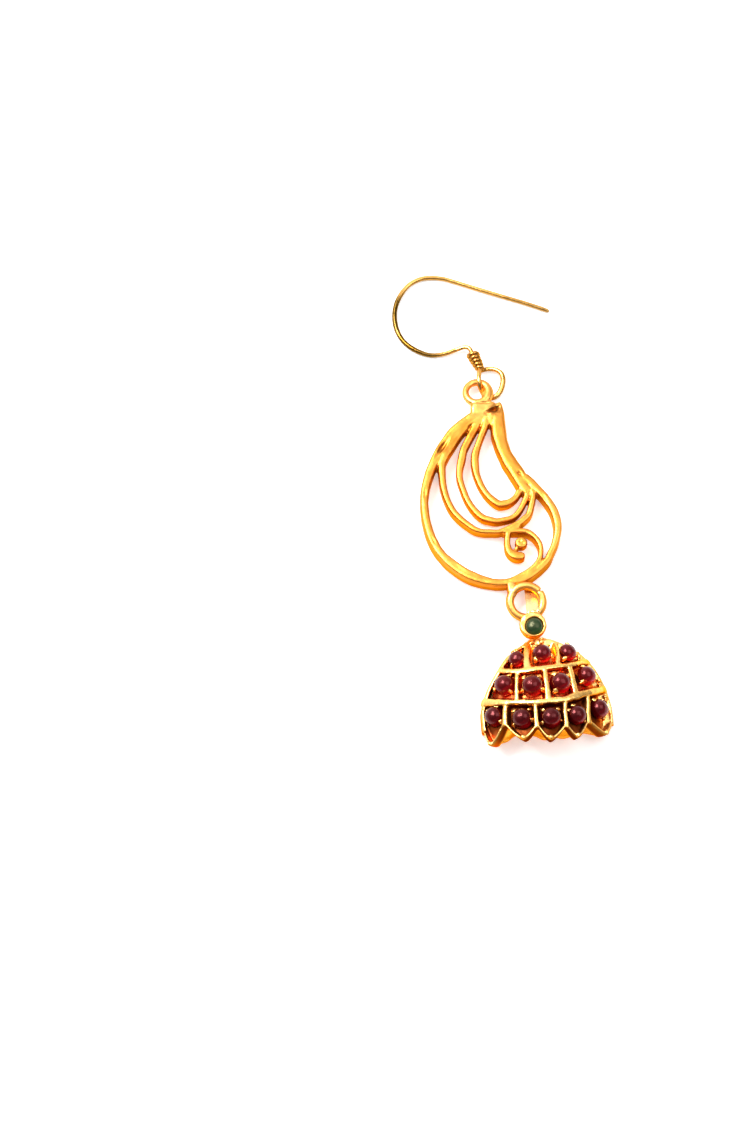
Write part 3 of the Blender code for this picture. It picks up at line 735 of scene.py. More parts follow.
def make_shell():
    columns, rows = 120, 70
    outer, inner = [], []
    for i in range(columns + 1):
        k = i / columns
        foot = petal_edge(-49.0 + 107.6 * k) - 0.05
        for j in range(rows + 1):
            s = -0.1 + (foot + 0.1) * j / rows
            left, right = outline_at(s)
            inset = degrees_for(0.36, s)
            angle = left + inset + (right - left - 2 * inset) * k
            bump = 0.07 * noise.noise(Vector((angle * 0.16, s * 1.5, 0))) + 0.03 * noise.noise(Vector((angle * 0.4, s * 4.0, 3)))
            outer.append(dome_point(angle, s, floor_radius(angle, s) + bump))
            inner.append(dome_point(angle, s, inner_radius(angle, s)))
    size = len(outer)
    at = lambda i, j: i * (rows + 1) + j
    faces = []
    for i in range(columns):
        for j in range(rows):
            quad = (at(i, j), at(i + 1, j), at(i + 1, j + 1), at(i, j + 1))
            faces += [quad, tuple(size + v for v in reversed(quad))]
        faces.append((at(i, 0), size + at(i, 0), size + at(i + 1, 0), at(i + 1, 0)))
        faces.append((at(i, rows), at(i + 1, rows), size + at(i + 1, rows), size + at(i, rows)))
    for j in range(rows):
        faces.append((at(0, j), at(0, j + 1), size + at(0, j + 1), size + at(0, j)))
        faces.append((at(columns, j), size + at(columns, j), size + at(columns, j + 1), at(columns, j + 1)))
    return solid("shell", outer + inner, faces)


def make_side(name, side):
    """The wall down one side of the dome, from its outer form back to the back plate's plane."""
    sections = []
    sign = 1 if side == 0 else -1
    for i, s in enumerate(np.linspace(-0.35, 13.0, 70)):
        angle = outline_at(s)[side]
        width = EDGE_W[side] * (1 + 0.12 * noise.noise(Vector((i * 0.12, side * 5.0, 0))))
        step = degrees_for(width, s) * sign
        r = top_radius(s)
        crest = [
            dome_point(angle, s, r - 0.16),
            dome_point(angle + step * 0.18, s, r - 0.02),
            dome_point(angle + step * 0.5, s, r + 0.03),
            dome_point(angle + step * 0.82, s, r),
            dome_point(angle + step, s, r - 0.14),
        ]
        inner, outer = crest[-1], crest[0]
        low_in = inner - OUT * (inner - DROP_ORIGIN).dot(OUT)
        low_out = outer - OUT * (outer - DROP_ORIGIN).dot(OUT)
        sections.append([*crest, low_in + ACROSS * 0.1 * sign, low_out])
    return loft(name, sections)


def make_back():
    left = [(outline_at(s)[0], s) for s in np.linspace(0.1, 12.9, 30)]
    right = [(outline_at(s)[1], s) for s in np.linspace(12.9, 0.1, 30)]
    outline = []
    for rows, inward in ((left, 0.30), (right, -0.30)):
        outline += [(AXIS_X + top_radius(s) * math.sin(math.radians(angle)) + inward, s) for angle, s in rows]
        if rows is left:
            outline += [tuple(r) for r in smooth_rows(BACK_EDGE, 5)]
    middle_x, middle_s = np.mean([p[0] for p in outline]), np.mean([p[1] for p in outline])

    def ring(share, n):
        return [drop_point(middle_x + (x - middle_x) * share, middle_s + (s - middle_s) * share, n) for x, s in outline]

    return loft("back", [ring(0.985, 0.04), ring(1.0, 0.14), ring(1.0, BACK - 0.12), ring(0.985, BACK)])


def make_lattice():
    parts = [make_shell(), make_side("left", 0), make_side("right", 1), make_back()]
    for name, rows, proud, seed in (("band_1", BAND_1, 0.05, 3.0), ("band_2", BAND_2, 0.07, 8.0)):
        fine = smooth_rows(rows, 8)
        route = []
        for i, r in enumerate(fine):
            ripple = 0.07 * noise.noise(Vector((i * 0.22, seed, 11)))
            route.append((r[0], r[1] + ripple))
        parts.append(ridge(name, route, list(fine[:, 2]), proud, seed=seed, wave=0.05))
    for i, (a0, s0, a1, s1, w0, w1) in enumerate(DIVIDERS):
        count = 24
        route, widths = [], []
        for k in np.linspace(0, 1, count):
            bend = 0.8 * noise.noise(Vector((k * 2.2, i * 3.1, 0)))
            route.append((a0 + (a1 - a0) * k + bend, s0 + (s1 - s0) * k))
            widths.append(w0 + (w1 - w0) * k)
        parts.append(ridge(f"divider_{i}", route, widths, -0.02 if i > 4 else 0.0, seed=20.0 + i, wave=0.05))
    route, widths = [], []
    for angle in np.linspace(-49.6, 59.4, 260):
        foot = petal_edge(angle) + 0.02
        route.append((angle, foot - PETAL_W / 2))
    parts.append(petal_wall(route))
    neck = []
    for s, m, w, top in ((-1.4, -0.35, 0.70, 0.78), (-0.6, -0.2, 0.56, 0.66), (-0.1, -0.12, 0.56, 0.66), (1.0, 0.02, 0.72, 0.76)):
        neck.append([drop_point(x, s, n) for x, n in ((m - w, 0.12), (m + w, 0.12), (m + w * 0.8, top), (m - w * 0.8, top))])
    parts.append(loft("neck", neck))
    parts.append(make_apron())
    for i, (angle, s, size) in enumerate(LUMPS):
        at = dome_point(angle, s, top_radius(s) - 0.20)
        parts.append(blob("lump", at, (size, size * 0.8, 0.34), turn=i * 0.9, rough=0.5, seed=40.0 + i * 2.3))
    for tip_angle, tip, _, _ in PETALS:
        at = dome_point(tip_angle, tip - 0.42, top_radius(tip) - 0.02)
        parts.append(blob("tip", at, (0.34, 0.40, 0.26), rough=0.35, seed=tip_angle))
    made = drop_stray(cast(join("drop_lattice", parts), 0.125, 2))
    co = points_of(made) - np.array(DROP_ORIGIN)
    x, s, n = co @ np.array(ACROSS) - AXIS_X, co @ np.array(DOWN), co @ np.array(OUT) + AXIS_DEPTH
    angle = np.degrees(np.arctan2(x, n))
    depth = np.interp(s, PROFILE_FINE[:, 0], PROFILE_FINE[:, 1]) - np.hypot(x, n)
    band = np.interp(angle, [r[0] for r in BAND_2], [r[1] for r in BAND_2])
    front = np.clip((n - AXIS_DEPTH - 0.75) / 0.5, 0, 1) * np.clip((1.9 - depth) / 0.3, 0, 1)
    # painted shade: the recesses of the lattice's front darker and redder
    recess_shade = np.clip((depth - 0.22) / 0.60, 0, 1) * front
    shade = made.data.attributes.new("recess_shade", "FLOAT", "POINT")
    shade.data.foreach_set("value", recess_shade.astype(np.float32))
    # painted shade over the petals' row below the second band, deepest in its recesses
    petal_row_shade = np.clip((s - band - 0.28) / 0.40, 0, 1) * np.clip(0.22 + 0.78 * (depth - 0.05) / 0.22, 0.22, 1) * front
    # less painted shade on the tips of the outermost petals
    petal_row_shade *= 1 - 0.75 * np.clip((-37.0 - angle) / 5.0, 0, 1) * np.clip((s - 12.9) / 1.0, 0, 1)
    petal_row_shade *= 1 - 0.45 * np.clip((angle - 44.0) / 6.0, 0, 1) * np.clip((s - 11.5) / 1.2, 0, 1)
    petal_row_shade *= 0.80 + 0.20 * np.clip(np.cos(np.radians(angle - 6.0) * 1.9), 0, 1)
    shade = made.data.attributes.new("petal_row_shade", "FLOAT", "POINT")
    shade.data.foreach_set("value", petal_row_shade.astype(np.float32))
    # painted bounce light: bright orange on the slope behind the petals, where the drop shades it
    under = np.clip((s - 12.2) / 0.4, 0, 1) * np.clip((depth - 1.25) / 0.3, 0, 1)
    shade = made.data.attributes.new("under", "FLOAT", "POINT")
    shade.data.foreach_set("value", under.astype(np.float32))
    # the back plate was beaten flat: shallow hammer marks on its underside
    beaten = (co @ np.array(OUT) < 0.16) & (normals_of(made) @ np.array(OUT) < -0.6)
    for i in np.nonzero(beaten)[0]:
        away = noise.voronoi(Vector((x[i] * 0.75, s[i] * 0.75, 0.0)))[0][0]
        co[i] += np.array(OUT) * 0.09 * max(0.0, 1 - (away / 0.75) ** 2)
    put_points(made, co + np.array(DROP_ORIGIN))
    return made


def petal_wall(route):
    """The thin wall that follows the five petals."""
    sections = []
    for i, (angle, s) in enumerate(route):
        half = PETAL_W / 2
        wave = 0.04 * noise.noise(Vector((i * 0.11, 31.0, 0)))
        ring = []
        for u, h in ((-half - 0.05, None), (-half, -0.42), (-half + 0.08, -0.14), (0, -0.02), (half - 0.08, -0.10), (half, -0.30), (half, None)):
            at_s = s + u
            r = floor_radius(angle, at_s) - 0.30 if h is None else top_radius(at_s) + wave + h
            ring.append(dome_point(angle, at_s, r))
        sections.append(ring)
    return loft("petals", sections)


def make_apron():
    """The smooth slope behind the petals, from the dome's underside to the back plate's edge."""
    edge = smooth_rows(BACK_EDGE, 6)
    sections = []
    for x in np.linspace(-7.2, 7.8, 90):
        foot_s = float(np.interp(x, edge[:, 0], edge[:, 1])) - 0.10
        angle = math.degrees(math.asin(max(-0.95, min(0.95, (x - AXIS_X) / 10.1))))
        high = dome_point(angle, 12.75, min(inner_radius(angle, 12.75) + 0.12, 10.0))
        low = drop_point(x, foot_s, 0.30)
        if (high - low).dot(OUT) < 0.4:
            high = low + OUT * 0.4 - DOWN * 0.2
        inward = DOWN * -0.34
        face = []
        for k in (0.0, 0.25, 0.5, 0.75, 1.0):
            swell = math.sin(math.pi * k) * 0.22
            face.append(low.lerp(high, k) + DOWN * swell)
        sections.append(face + [p + inward for p in reversed(face)])
    return loft("apron", sections)


def make_cup():
    """The round setting: a hand-closed rim, thicker on one side, round the green stone."""
    sides = 72

    def ring(x, s, radius, n, rough=0.0, seed=0.0, tilt=0.0):
        out = []
        for k in range(sides):
            a = 2 * math.pi * k / sides
            w = noise.noise(Vector((math.cos(a) * 1.4 + seed, math.sin(a) * 1.4, n)))
            r = radius * (1 + rough * w)
            out.append(drop_point(x + r * math.cos(a), s + r * math.sin(a), n + tilt * w))
        return out

    sections = [
        ring(CUP_X, CUP_S, CUP_R * 0.70, CUP_BACK),
        ring(CUP_X, CUP_S, CUP_R * 0.90, CUP_BACK + 0.04, 0.03, 2),
        ring(CUP_X, CUP_S, CUP_R, CUP_BACK + 0.24, 0.04, 2),
        ring(CUP_X, CUP_S, CUP_R * 1.0, CUP_TOP - 0.42, 0.05, 2),
        ring(CUP_X, CUP_S, CUP_R * 0.985, CUP_TOP - 0.16, 0.05, 2, 0.10),
        ring(CUP_X, CUP_S, CUP_R * 0.93, CUP_TOP - 0.01, 0.04, 2, 0.12),
        ring(SEAT_X - 0.05, SEAT_S - 0.06, SEAT_R * 1.07, CUP_TOP + 0.04, 0.04, 2, 0.12),
        ring(SEAT_X, SEAT_S, SEAT_R * 0.955, CUP_TOP - 0.04, 0.02, 2, 0.05),
        ring(SEAT_X, SEAT_S, SEAT_R * 0.965, CUP_TOP - 0.16),
        ring(SEAT_X, SEAT_S, SEAT_R, CUP_FLOOR),
    ]
    return loft("green_setting", sections)


def make_strap():
    rows, _ = even_rows(STRAP_PATH, 0.10)
    sections = []
    for i, (y, z) in enumerate(rows):
        a, b = rows[max(i - 1, 0)], rows[min(i + 1, len(rows) - 1)]
        along = Vector((0, b[0] - a[0], b[1] - a[1])).normalized()
        out = Vector((0, -along.z, along.y))
        k = max(0.0, min(1.0, (y + 12.5) / -4.0))
        middle = Vector((STRAP_X[0] + (STRAP_X[1] - STRAP_X[0]) * k, y, z))
        half = STRAP_W / 2 * (1 + 0.05 * noise.noise(Vector((i * 0.08, 4, 0)))) * (0.84 + 0.16 * max(0.0, min(1.0, (z - 0.4) / 0.5)))
        thick = STRAP_T / 2
        ring = []
        for t in range(24):
            c, s = math.cos(2 * math.pi * t / 24), math.sin(2 * math.pi * t / 24)
            u = math.copysign(abs(c) ** 0.35, c) * half
            v = math.copysign(abs(s) ** 0.5, s) * thick
            ring.append(middle + Vector((u, 0, 0)) + out * (v + 0.05 * (1 - (u / half) ** 2) * (1 if s > 0 else 0)))
        sections.append(ring)
    # solder where the strap is joined to the setting
    parts = [loft("strap", sections)]
    for i, (place, size) in enumerate((((3.35, -16.22, 2.60), (0.42, 0.26, 0.20)), ((4.02, -16.06, 2.46), (0.36, 0.32, 0.26)), ((2.72, -16.32, 2.56), (0.26, 0.22, 0.20)))):
        parts.append(blob("solder", Vector(place), size, rings=14, sides=22, rough=0.5, seed=80.0 + i * 3.1))
    return join("strap_loop", parts)


# ------------------------------------------------------------------ rings
def ring_points(ring, heights, start, sweep, count):
    x, y, half_w, half_h = ring
    out = []
    for a in np.radians(start + sweep * np.arange(count) / (count if sweep == 360 else count - 1)):
        k = 0.5 + 0.5 * math.sin(a)
        out.append((x + half_w * math.cos(a), y + half_h * math.sin(a), heights[0] + (heights[1] - heights[0]) * k, math.degrees(a)))
    return out


def make_link():
    """The lower link: thick worn wire, its ends butted and soldered, with a knuckle of solder on its inner left."""
    path = ring_points(LINK, LINK_Z, 40.8, 355.6, 150)
    radii = []
    for i, p in enumerate(path):
        end = min(i, len(path) - 1 - i) / 3.0
        radii.append(LINK_WIRE_R * (0.95 + 0.05 * min(end, 1.0)) * (1 + 0.07 * noise.noise(Vector((i * 0.05, 2, 0)))))
    made = [tube("link", [p[:3] for p in path], radii, 28)]
    made.append(blob("knuckle", Vector((0.60, -13.20, 1.72)), (0.54, 0.62, 0.52), rough=0.40, seed=4.0))
    made.append(strand("lug", ((0.34, -11.20, 1.25, 0.14), (0.42, -12.10, 1.30, -0.06), (0.52, -12.90, 1.20, -0.10), (0.62, -13.50, 0.9, 0.10)), low=0.64, seed=50))
    return drop_stray(cast(join("lower_link", made), 0.09, 3))


def make_casting():
    path = ring_points(TOP_RING, TOP_RING_Z[::-1], 0, 360, 120)
    degrees = [(p[3] + 180) % 360 - 180 for p in path]
    share = np.interp(degrees, [r[0] for r in TOP_RING_WIRE], [r[1] for r in TOP_RING_WIRE])
    parts = [tube("top_ring", [p[:3] for p in path], list(RING_WIRE_R * share), 24, closed=True)]
    tables = (("rim", RIM), ("strip", STRIP), ("arc_1", ARC_1), ("arc_2", ARC_2), ("arc_3", ARC_3), ("scroll", SCROLL), ("curl", CURL), ("stem", CURL_STEM), ("lip", LIP))
    for i, (name, rows) in enumerate(tables):
        parts.append(strand(name, rows, low=BAR_FOOT.get(name, 0.05), seed=i * 7.3))
    parts.append(strand("neck", ((-4.6, 14.6, 2.2, 0), (-3.4, 15.4, 2.5, 0), (-2.0, 15.2, 2.4, 0.04), (-0.8, 15.0, 1.8, 0.02)), seed=61))
    parts.append(strand("web", ((-3.30, 14.30, 1.7, 0.08), (-2.75, 13.20, 1.6, 0.12), (-3.25, 12.35, 1.0, 0.30)), low=0.35, seed=63))
    parts.append(strand("fillet", ((-1.70, 14.6, 1.8, 0.03), (-1.84, 13.6, 1.7, 0.04), (-1.95, 12.9, 1.3, 0.07), (-2.00, 12.4, 0.8, 0.16)), low=0.35, seed=64))
    parts.append(strand("bridge", ((-6.30, 11.60, 1.0, 0.30), (-7.55, 9.90, 1.2, 0.34), (-8.55, 8.10, 1.2, 0.26), (-9.30, 6.60, 0.8, 0.30)), low=0.30, seed=65))
    parts.append(blob("knuckle", Vector((-2.52, 17.55, 1.22)), (0.78, 0.95, 0.60), rough=0.3, seed=6.0))
    parts.append(strand("foot_web", ((2.35, 3.05, 1.5, 0.16), (2.75, 2.35, 1.5, 0.20), (3.05, 1.70, 1.3, 0.42)), low=0.35, seed=66))
    parts.append(strand("collar", ((-3.65, 14.9, 2.2, 0.08), (-3.76, 15.7, 1.9, 0.24), (-3.86, 16.5, 1.3, 0.50)), low=0.42, seed=62))
    x, y, radius, top = CURL_BEAD
    disc = []
    for share, z in ((0.90, 0.62), (1.0, 0.76), (1.0, top - 0.26), (0.93, top - 0.09), (0.80, top), (0.40, top + 0.02)):
        disc.append([Vector((x + radius * share * math.cos(a), y + radius * share * math.sin(a), z)) for a in (math.pi * k / 18 for k in range(36))])
    parts.append(loft("disc", disc))
    parts.append(strand("joint_web", ((-0.30, -3.80, 0.9, 0.10), (0.90, -3.30, 1.3, 0.06), (1.85, -2.75, 1.0, 0.08)), low=0.25, seed=67))
    made = drop_stray(cast(join("paisley_casting", parts), 0.118, 4))
    co, no = points_of(made), normals_of(made)
    for x, y, half_l, half_w, turn, depth in HOLLOWS:
        a = math.radians(turn)
        u = (co[:, 0] - x) * math.cos(a) + (co[:, 1] - y) * math.sin(a)
        v = -(co[:, 0] - x) * math.sin(a) + (co[:, 1] - y) * math.cos(a)
        fall = np.exp(-((u / half_l) ** 2) * 1.4 - (v / half_w) ** 2 * 1.1) * (co[:, 2] > 1.2)
        co[:, 2] -= depth * fall * np.clip(no[:, 2], 0, 1)
    # the seam that runs under the front edge along the rim's lower left
    angle = np.degrees(np.arctan2(co[:, 1] + 2.0, co[:, 0] + 2.0))
    outer = (no[:, 0] * (co[:, 0] + 2.0) + no[:, 1] * (co[:, 1] + 2.0) > 0) & (np.abs(no[:, 2]) < 0.75)
    along = np.clip((angle + 150) / 12, 0, 1) * np.clip((-72 - angle) / 10, 0, 1)
    far = np.hypot(co[:, 0] + 2.5, co[:, 1] + 2.0)
    dent = 0.16 * np.exp(-(((co[:, 2] - 1.62) / 0.16) ** 2)) * along * outer * (far > 8.0)
    co[:, :2] -= no[:, :2] * dent[:, None]
    put_points(made, co)
    return made


def make_hook():
    path, far = even_rows([*HOOK, (*COIL_TOP, 0.97)], 0.16, dims=3)
    radii = list(WIRE_R * path[:, 3])
    path = [Vector(p[:3]) for p in path]
    top, foot = Vector(COIL_TOP), Vector(COIL_END)
    inside = [top.lerp(Vector(COIL_FOOT), k) for k in (0.15, 0.35, 0.55, 0.75)]
    loop, _ = even_rows([COIL_FOOT, *HOOK_LOOP], 0.12, dims=3)
    up = (top - foot).normalized()
    low = Vector((0, 0, -1))
    low = (low - up * low.dot(up)).normalized()
    side = up.cross(low)
    steps = 36
    coil = []
    for i in range(int(COIL_TURNS * steps) + 1):
        turn = i / steps
        share = min(1.0, turn / COIL_TURNS)
        r = COIL_R_FOOT + (COIL_R_TOP - COIL_R_FOOT) * share**0.8 + 0.03 * noise.noise(Vector((turn * 1.1, 8, 0)))
        a = 2 * math.pi * turn
        coil.append(foot + up * (0.02 + COIL_PITCH * turn) + (low * math.cos(a) - side * math.sin(a)) * r)
    loop = [Vector(p) for p in loop]
    bridge = [loop[-1].lerp(coil[0], k) for k in (0.35, 0.7)]
    whole = [*path, *inside, *loop, *bridge, *coil]
    heavy = [1.02 + 0.20 * math.sin(math.pi * min(1.0, max(0.0, (k / len(loop) - 0.35) / 0.6))) for k in range(len(loop))]
    radii += [WIRE_R * 0.9] * len(inside) + [WIRE_R * h for h in heavy] + [WIRE_R] * (len(bridge) + len(coil))
    radii = np.array(radii) * np.array([1 + 0.035 * noise.noise(Vector((i * 0.045, 0.3, 5))) for i in range(len(radii))])
    radii[-3:] *= (0.96, 0.85, 0.6)
    made = tube("ear_wire", whole, list(radii), 22)
    co = points_of(made)
    co[:, 2] = np.maximum(co[:, 2], 0.004)
    put_points(made, co)
    return made


# ------------------------------------------------------------------ stones and grains
def stone(name, place, foot, dome, height, sides=56, seed=0.0):
    """A hand-polished cabochon: a low uneven foot, then a high rounded dome."""
    rows = [(0.0, 0.0), (foot * 0.80, 0.0), (foot * 0.96, 0.05 * height), (foot * 0.99, 0.14 * height), (foot * 0.93, 0.24 * height)]
    start = 0.24 * height
    for a in (6, 14, 22, 30, 38, 46, 54, 62, 70, 78, 84):
        rows.append((dome * math.cos(math.radians(a)) ** 0.92, start + (height - start) * math.sin(math.radians(a))))
    rows.append((0.0, height))
    points, faces = [place(0, 0, 0)], []
    rings = rows[1:-1]
    for j, (radius, z) in enumerate(rings):
        share = max(0.0, 1 - j / 6)
        for k in range(sides):
            a = 2 * math.pi * k / sides
            w = noise.noise(Vector((math.cos(a) * 1.1 + seed, math.sin(a) * 1.1, seed * 0.3)))
            w2 = noise.noise(Vector((math.cos(a) * 0.8 + seed, math.sin(a) * 0.8, z * 0.8 + 7)))
            r = radius * (1 + 0.09 * share * min(w, 0.1) + 0.018 * w2)
            points.append(place(r * math.cos(a), r * math.sin(a), z * (1 + 0.02 * w2)))
    points.append(place(0, 0, height))
    for k in range(sides):
        m = (k + 1) % sides
        faces.append((0, 1 + k, 1 + m))
        for i in range(len(rings) - 1):
            a, b = 1 + i * sides, 1 + (i + 1) * sides
            faces.append((a + k, b + k, b + m, a + m))
        last = 1 + (len(rings) - 1) * sides
        faces.append((last + k, len(points) - 1, last + m))
    return solid(name, points, faces)


def stone_frame(angle, s, radius):
    """The seat and axes of a red stone."""
    slope = LEAN * math.atan((rough_top(s + 0.6) - rough_top(s - 0.6)) / 1.2)
    a = math.radians(angle)
    radial = ACROSS * math.sin(a) + OUT * math.cos(a)
    up = (radial * math.cos(slope) - DOWN * math.sin(slope)).normalized()
    side = (ACROSS * math.cos(a) - OUT * math.sin(a)).normalized()
    length = side.cross(up)
    if length.dot(DOWN) < 0:
        length = -length
    at = dome_point(angle, s, floor_radius(angle, s))
    lift = 0.0
    for k in range(12):
        turn = 2 * math.pi * k / 12
        rim = at + (side * math.cos(turn) + length * math.sin(turn)) * radius * 0.9
        lift = max(lift, depth_under_floor(rim))
    return at + up * (SEAT_GAP + 0.06 + lift), side, length, up


def make_stones():
    made = []
    green = stone(
        "green_cabochon",
        lambda x, y, z: drop_point(SEAT_X + x, SEAT_S + y, CUP_FLOOR + SEAT_GAP + z),
        SEAT_R * 0.985,
        SEAT_R * 0.975,
        GREEN_H,
        seed=70.0,
    )
    made.append((green, "green_stone", "green_stone"))
    grains = []
    for i, (angle, s, foot, dome) in enumerate(RED_STONES):
        at, side, length, up = stone_frame(angle, s, foot)
        height = RED_H * foot / 1.45
        piece = stone(
            f"red_cabochon_{i + 1:02d}",
            lambda x, y, z: at + side * x + length * y + up * z,
            foot,
            dome,
            height,
            seed=3.7 * i,
        )
        made.append((piece, "red_stone", f"red_stone_{i + 1:02d}"))
        for j, (turn, reach, size) in enumerate(GRAINS[i]):
            a = math.radians(turn)
            reach = max(reach, dome + 0.06)
            out = side * math.cos(a) + length * math.sin(a)
            around = up.cross(out)
            base = at + out * reach
            lean = (up * 0.86 - out * 0.5).normalized()
            middle = base + up * 0.26 * height
            grains.append(
                blob(
                    "grain",
                    middle,
                    (size * 0.95, size * (0.95 + 0.6 * ((i + j) % 3) / 2), 0.36 + 0.10 * ((i * 3 + j) % 4) / 3),
                    rings=14,
                    sides=20,
                    rough=0.42,
                    seed=i * 4 + j * 1.7,
                    frame_axes=(out, around, lean),
                )
            )
    return made, grains


# ------------------------------------------------------------------ materials
def new_material(name):
    made = bpy.data.materials.new(name)
    made.use_nodes = True
    return made, made.node_tree, made.node_tree.nodes["Principled BSDF"]


def add(tree, kind, **values):
    node = tree.nodes.new(kind)
    for key, value in values.items():
        setattr(node, key, value)
    return node


def ramp(tree, source, stops):
    """A colour ramp from the source, with stops of position and colour."""
    node = add(tree, "ShaderNodeValToRGB")
    node.color_ramp.interpolation = "EASE"
    marks = node.color_ramp.elements
    while len(marks) > 1:
        marks.remove(marks[-1])
    for i, (at, colour) in enumerate(stops):
        mark = marks[0] if i == 0 else marks.new(at)
        mark.position = at
        mark.color = (*colour, 1.0)
    tree.links.new(source, node.inputs["Fac"])
    return node.outputs["Color"]


def ranged(tree, source, low, high, to_low, to_high):
    node = add(tree, "ShaderNodeMapRange")
    node.inputs["From Min"].default_value, node.inputs["From Max"].default_value = low, high
    node.inputs["To Min"].default_value, node.inputs["To Max"].default_value = to_low, to_high
    tree.links.new(source, node.inputs["Value"])
    return node.outputs["Result"]


def mixed(tree, share, a, b, blend="MIX"):
    node = add(tree, "ShaderNodeMix", data_type="RGBA", blend_type=blend)
    for value, socket in ((share, node.inputs["Factor"]), (a, node.inputs["A"]), (b, node.inputs["B"])):
        if isinstance(value, bpy.types.NodeSocket):
            tree.links.new(value, socket)
        elif isinstance(value, tuple):
            socket.default_value = (*value, 1.0)
        else:
            socket.default_value = value
    return node.outputs["Result"]


def noise_at(tree, place, scale, detail=3.0, rough=0.55):
    node = add(tree, "ShaderNodeTexNoise")
    node.inputs["Scale"].default_value = scale
    node.inputs["Detail"].default_value = detail
    node.inputs["Roughness"].default_value = rough
    tree.links.new(place, node.inputs["Vector"])
    return node.outputs["Fac"]


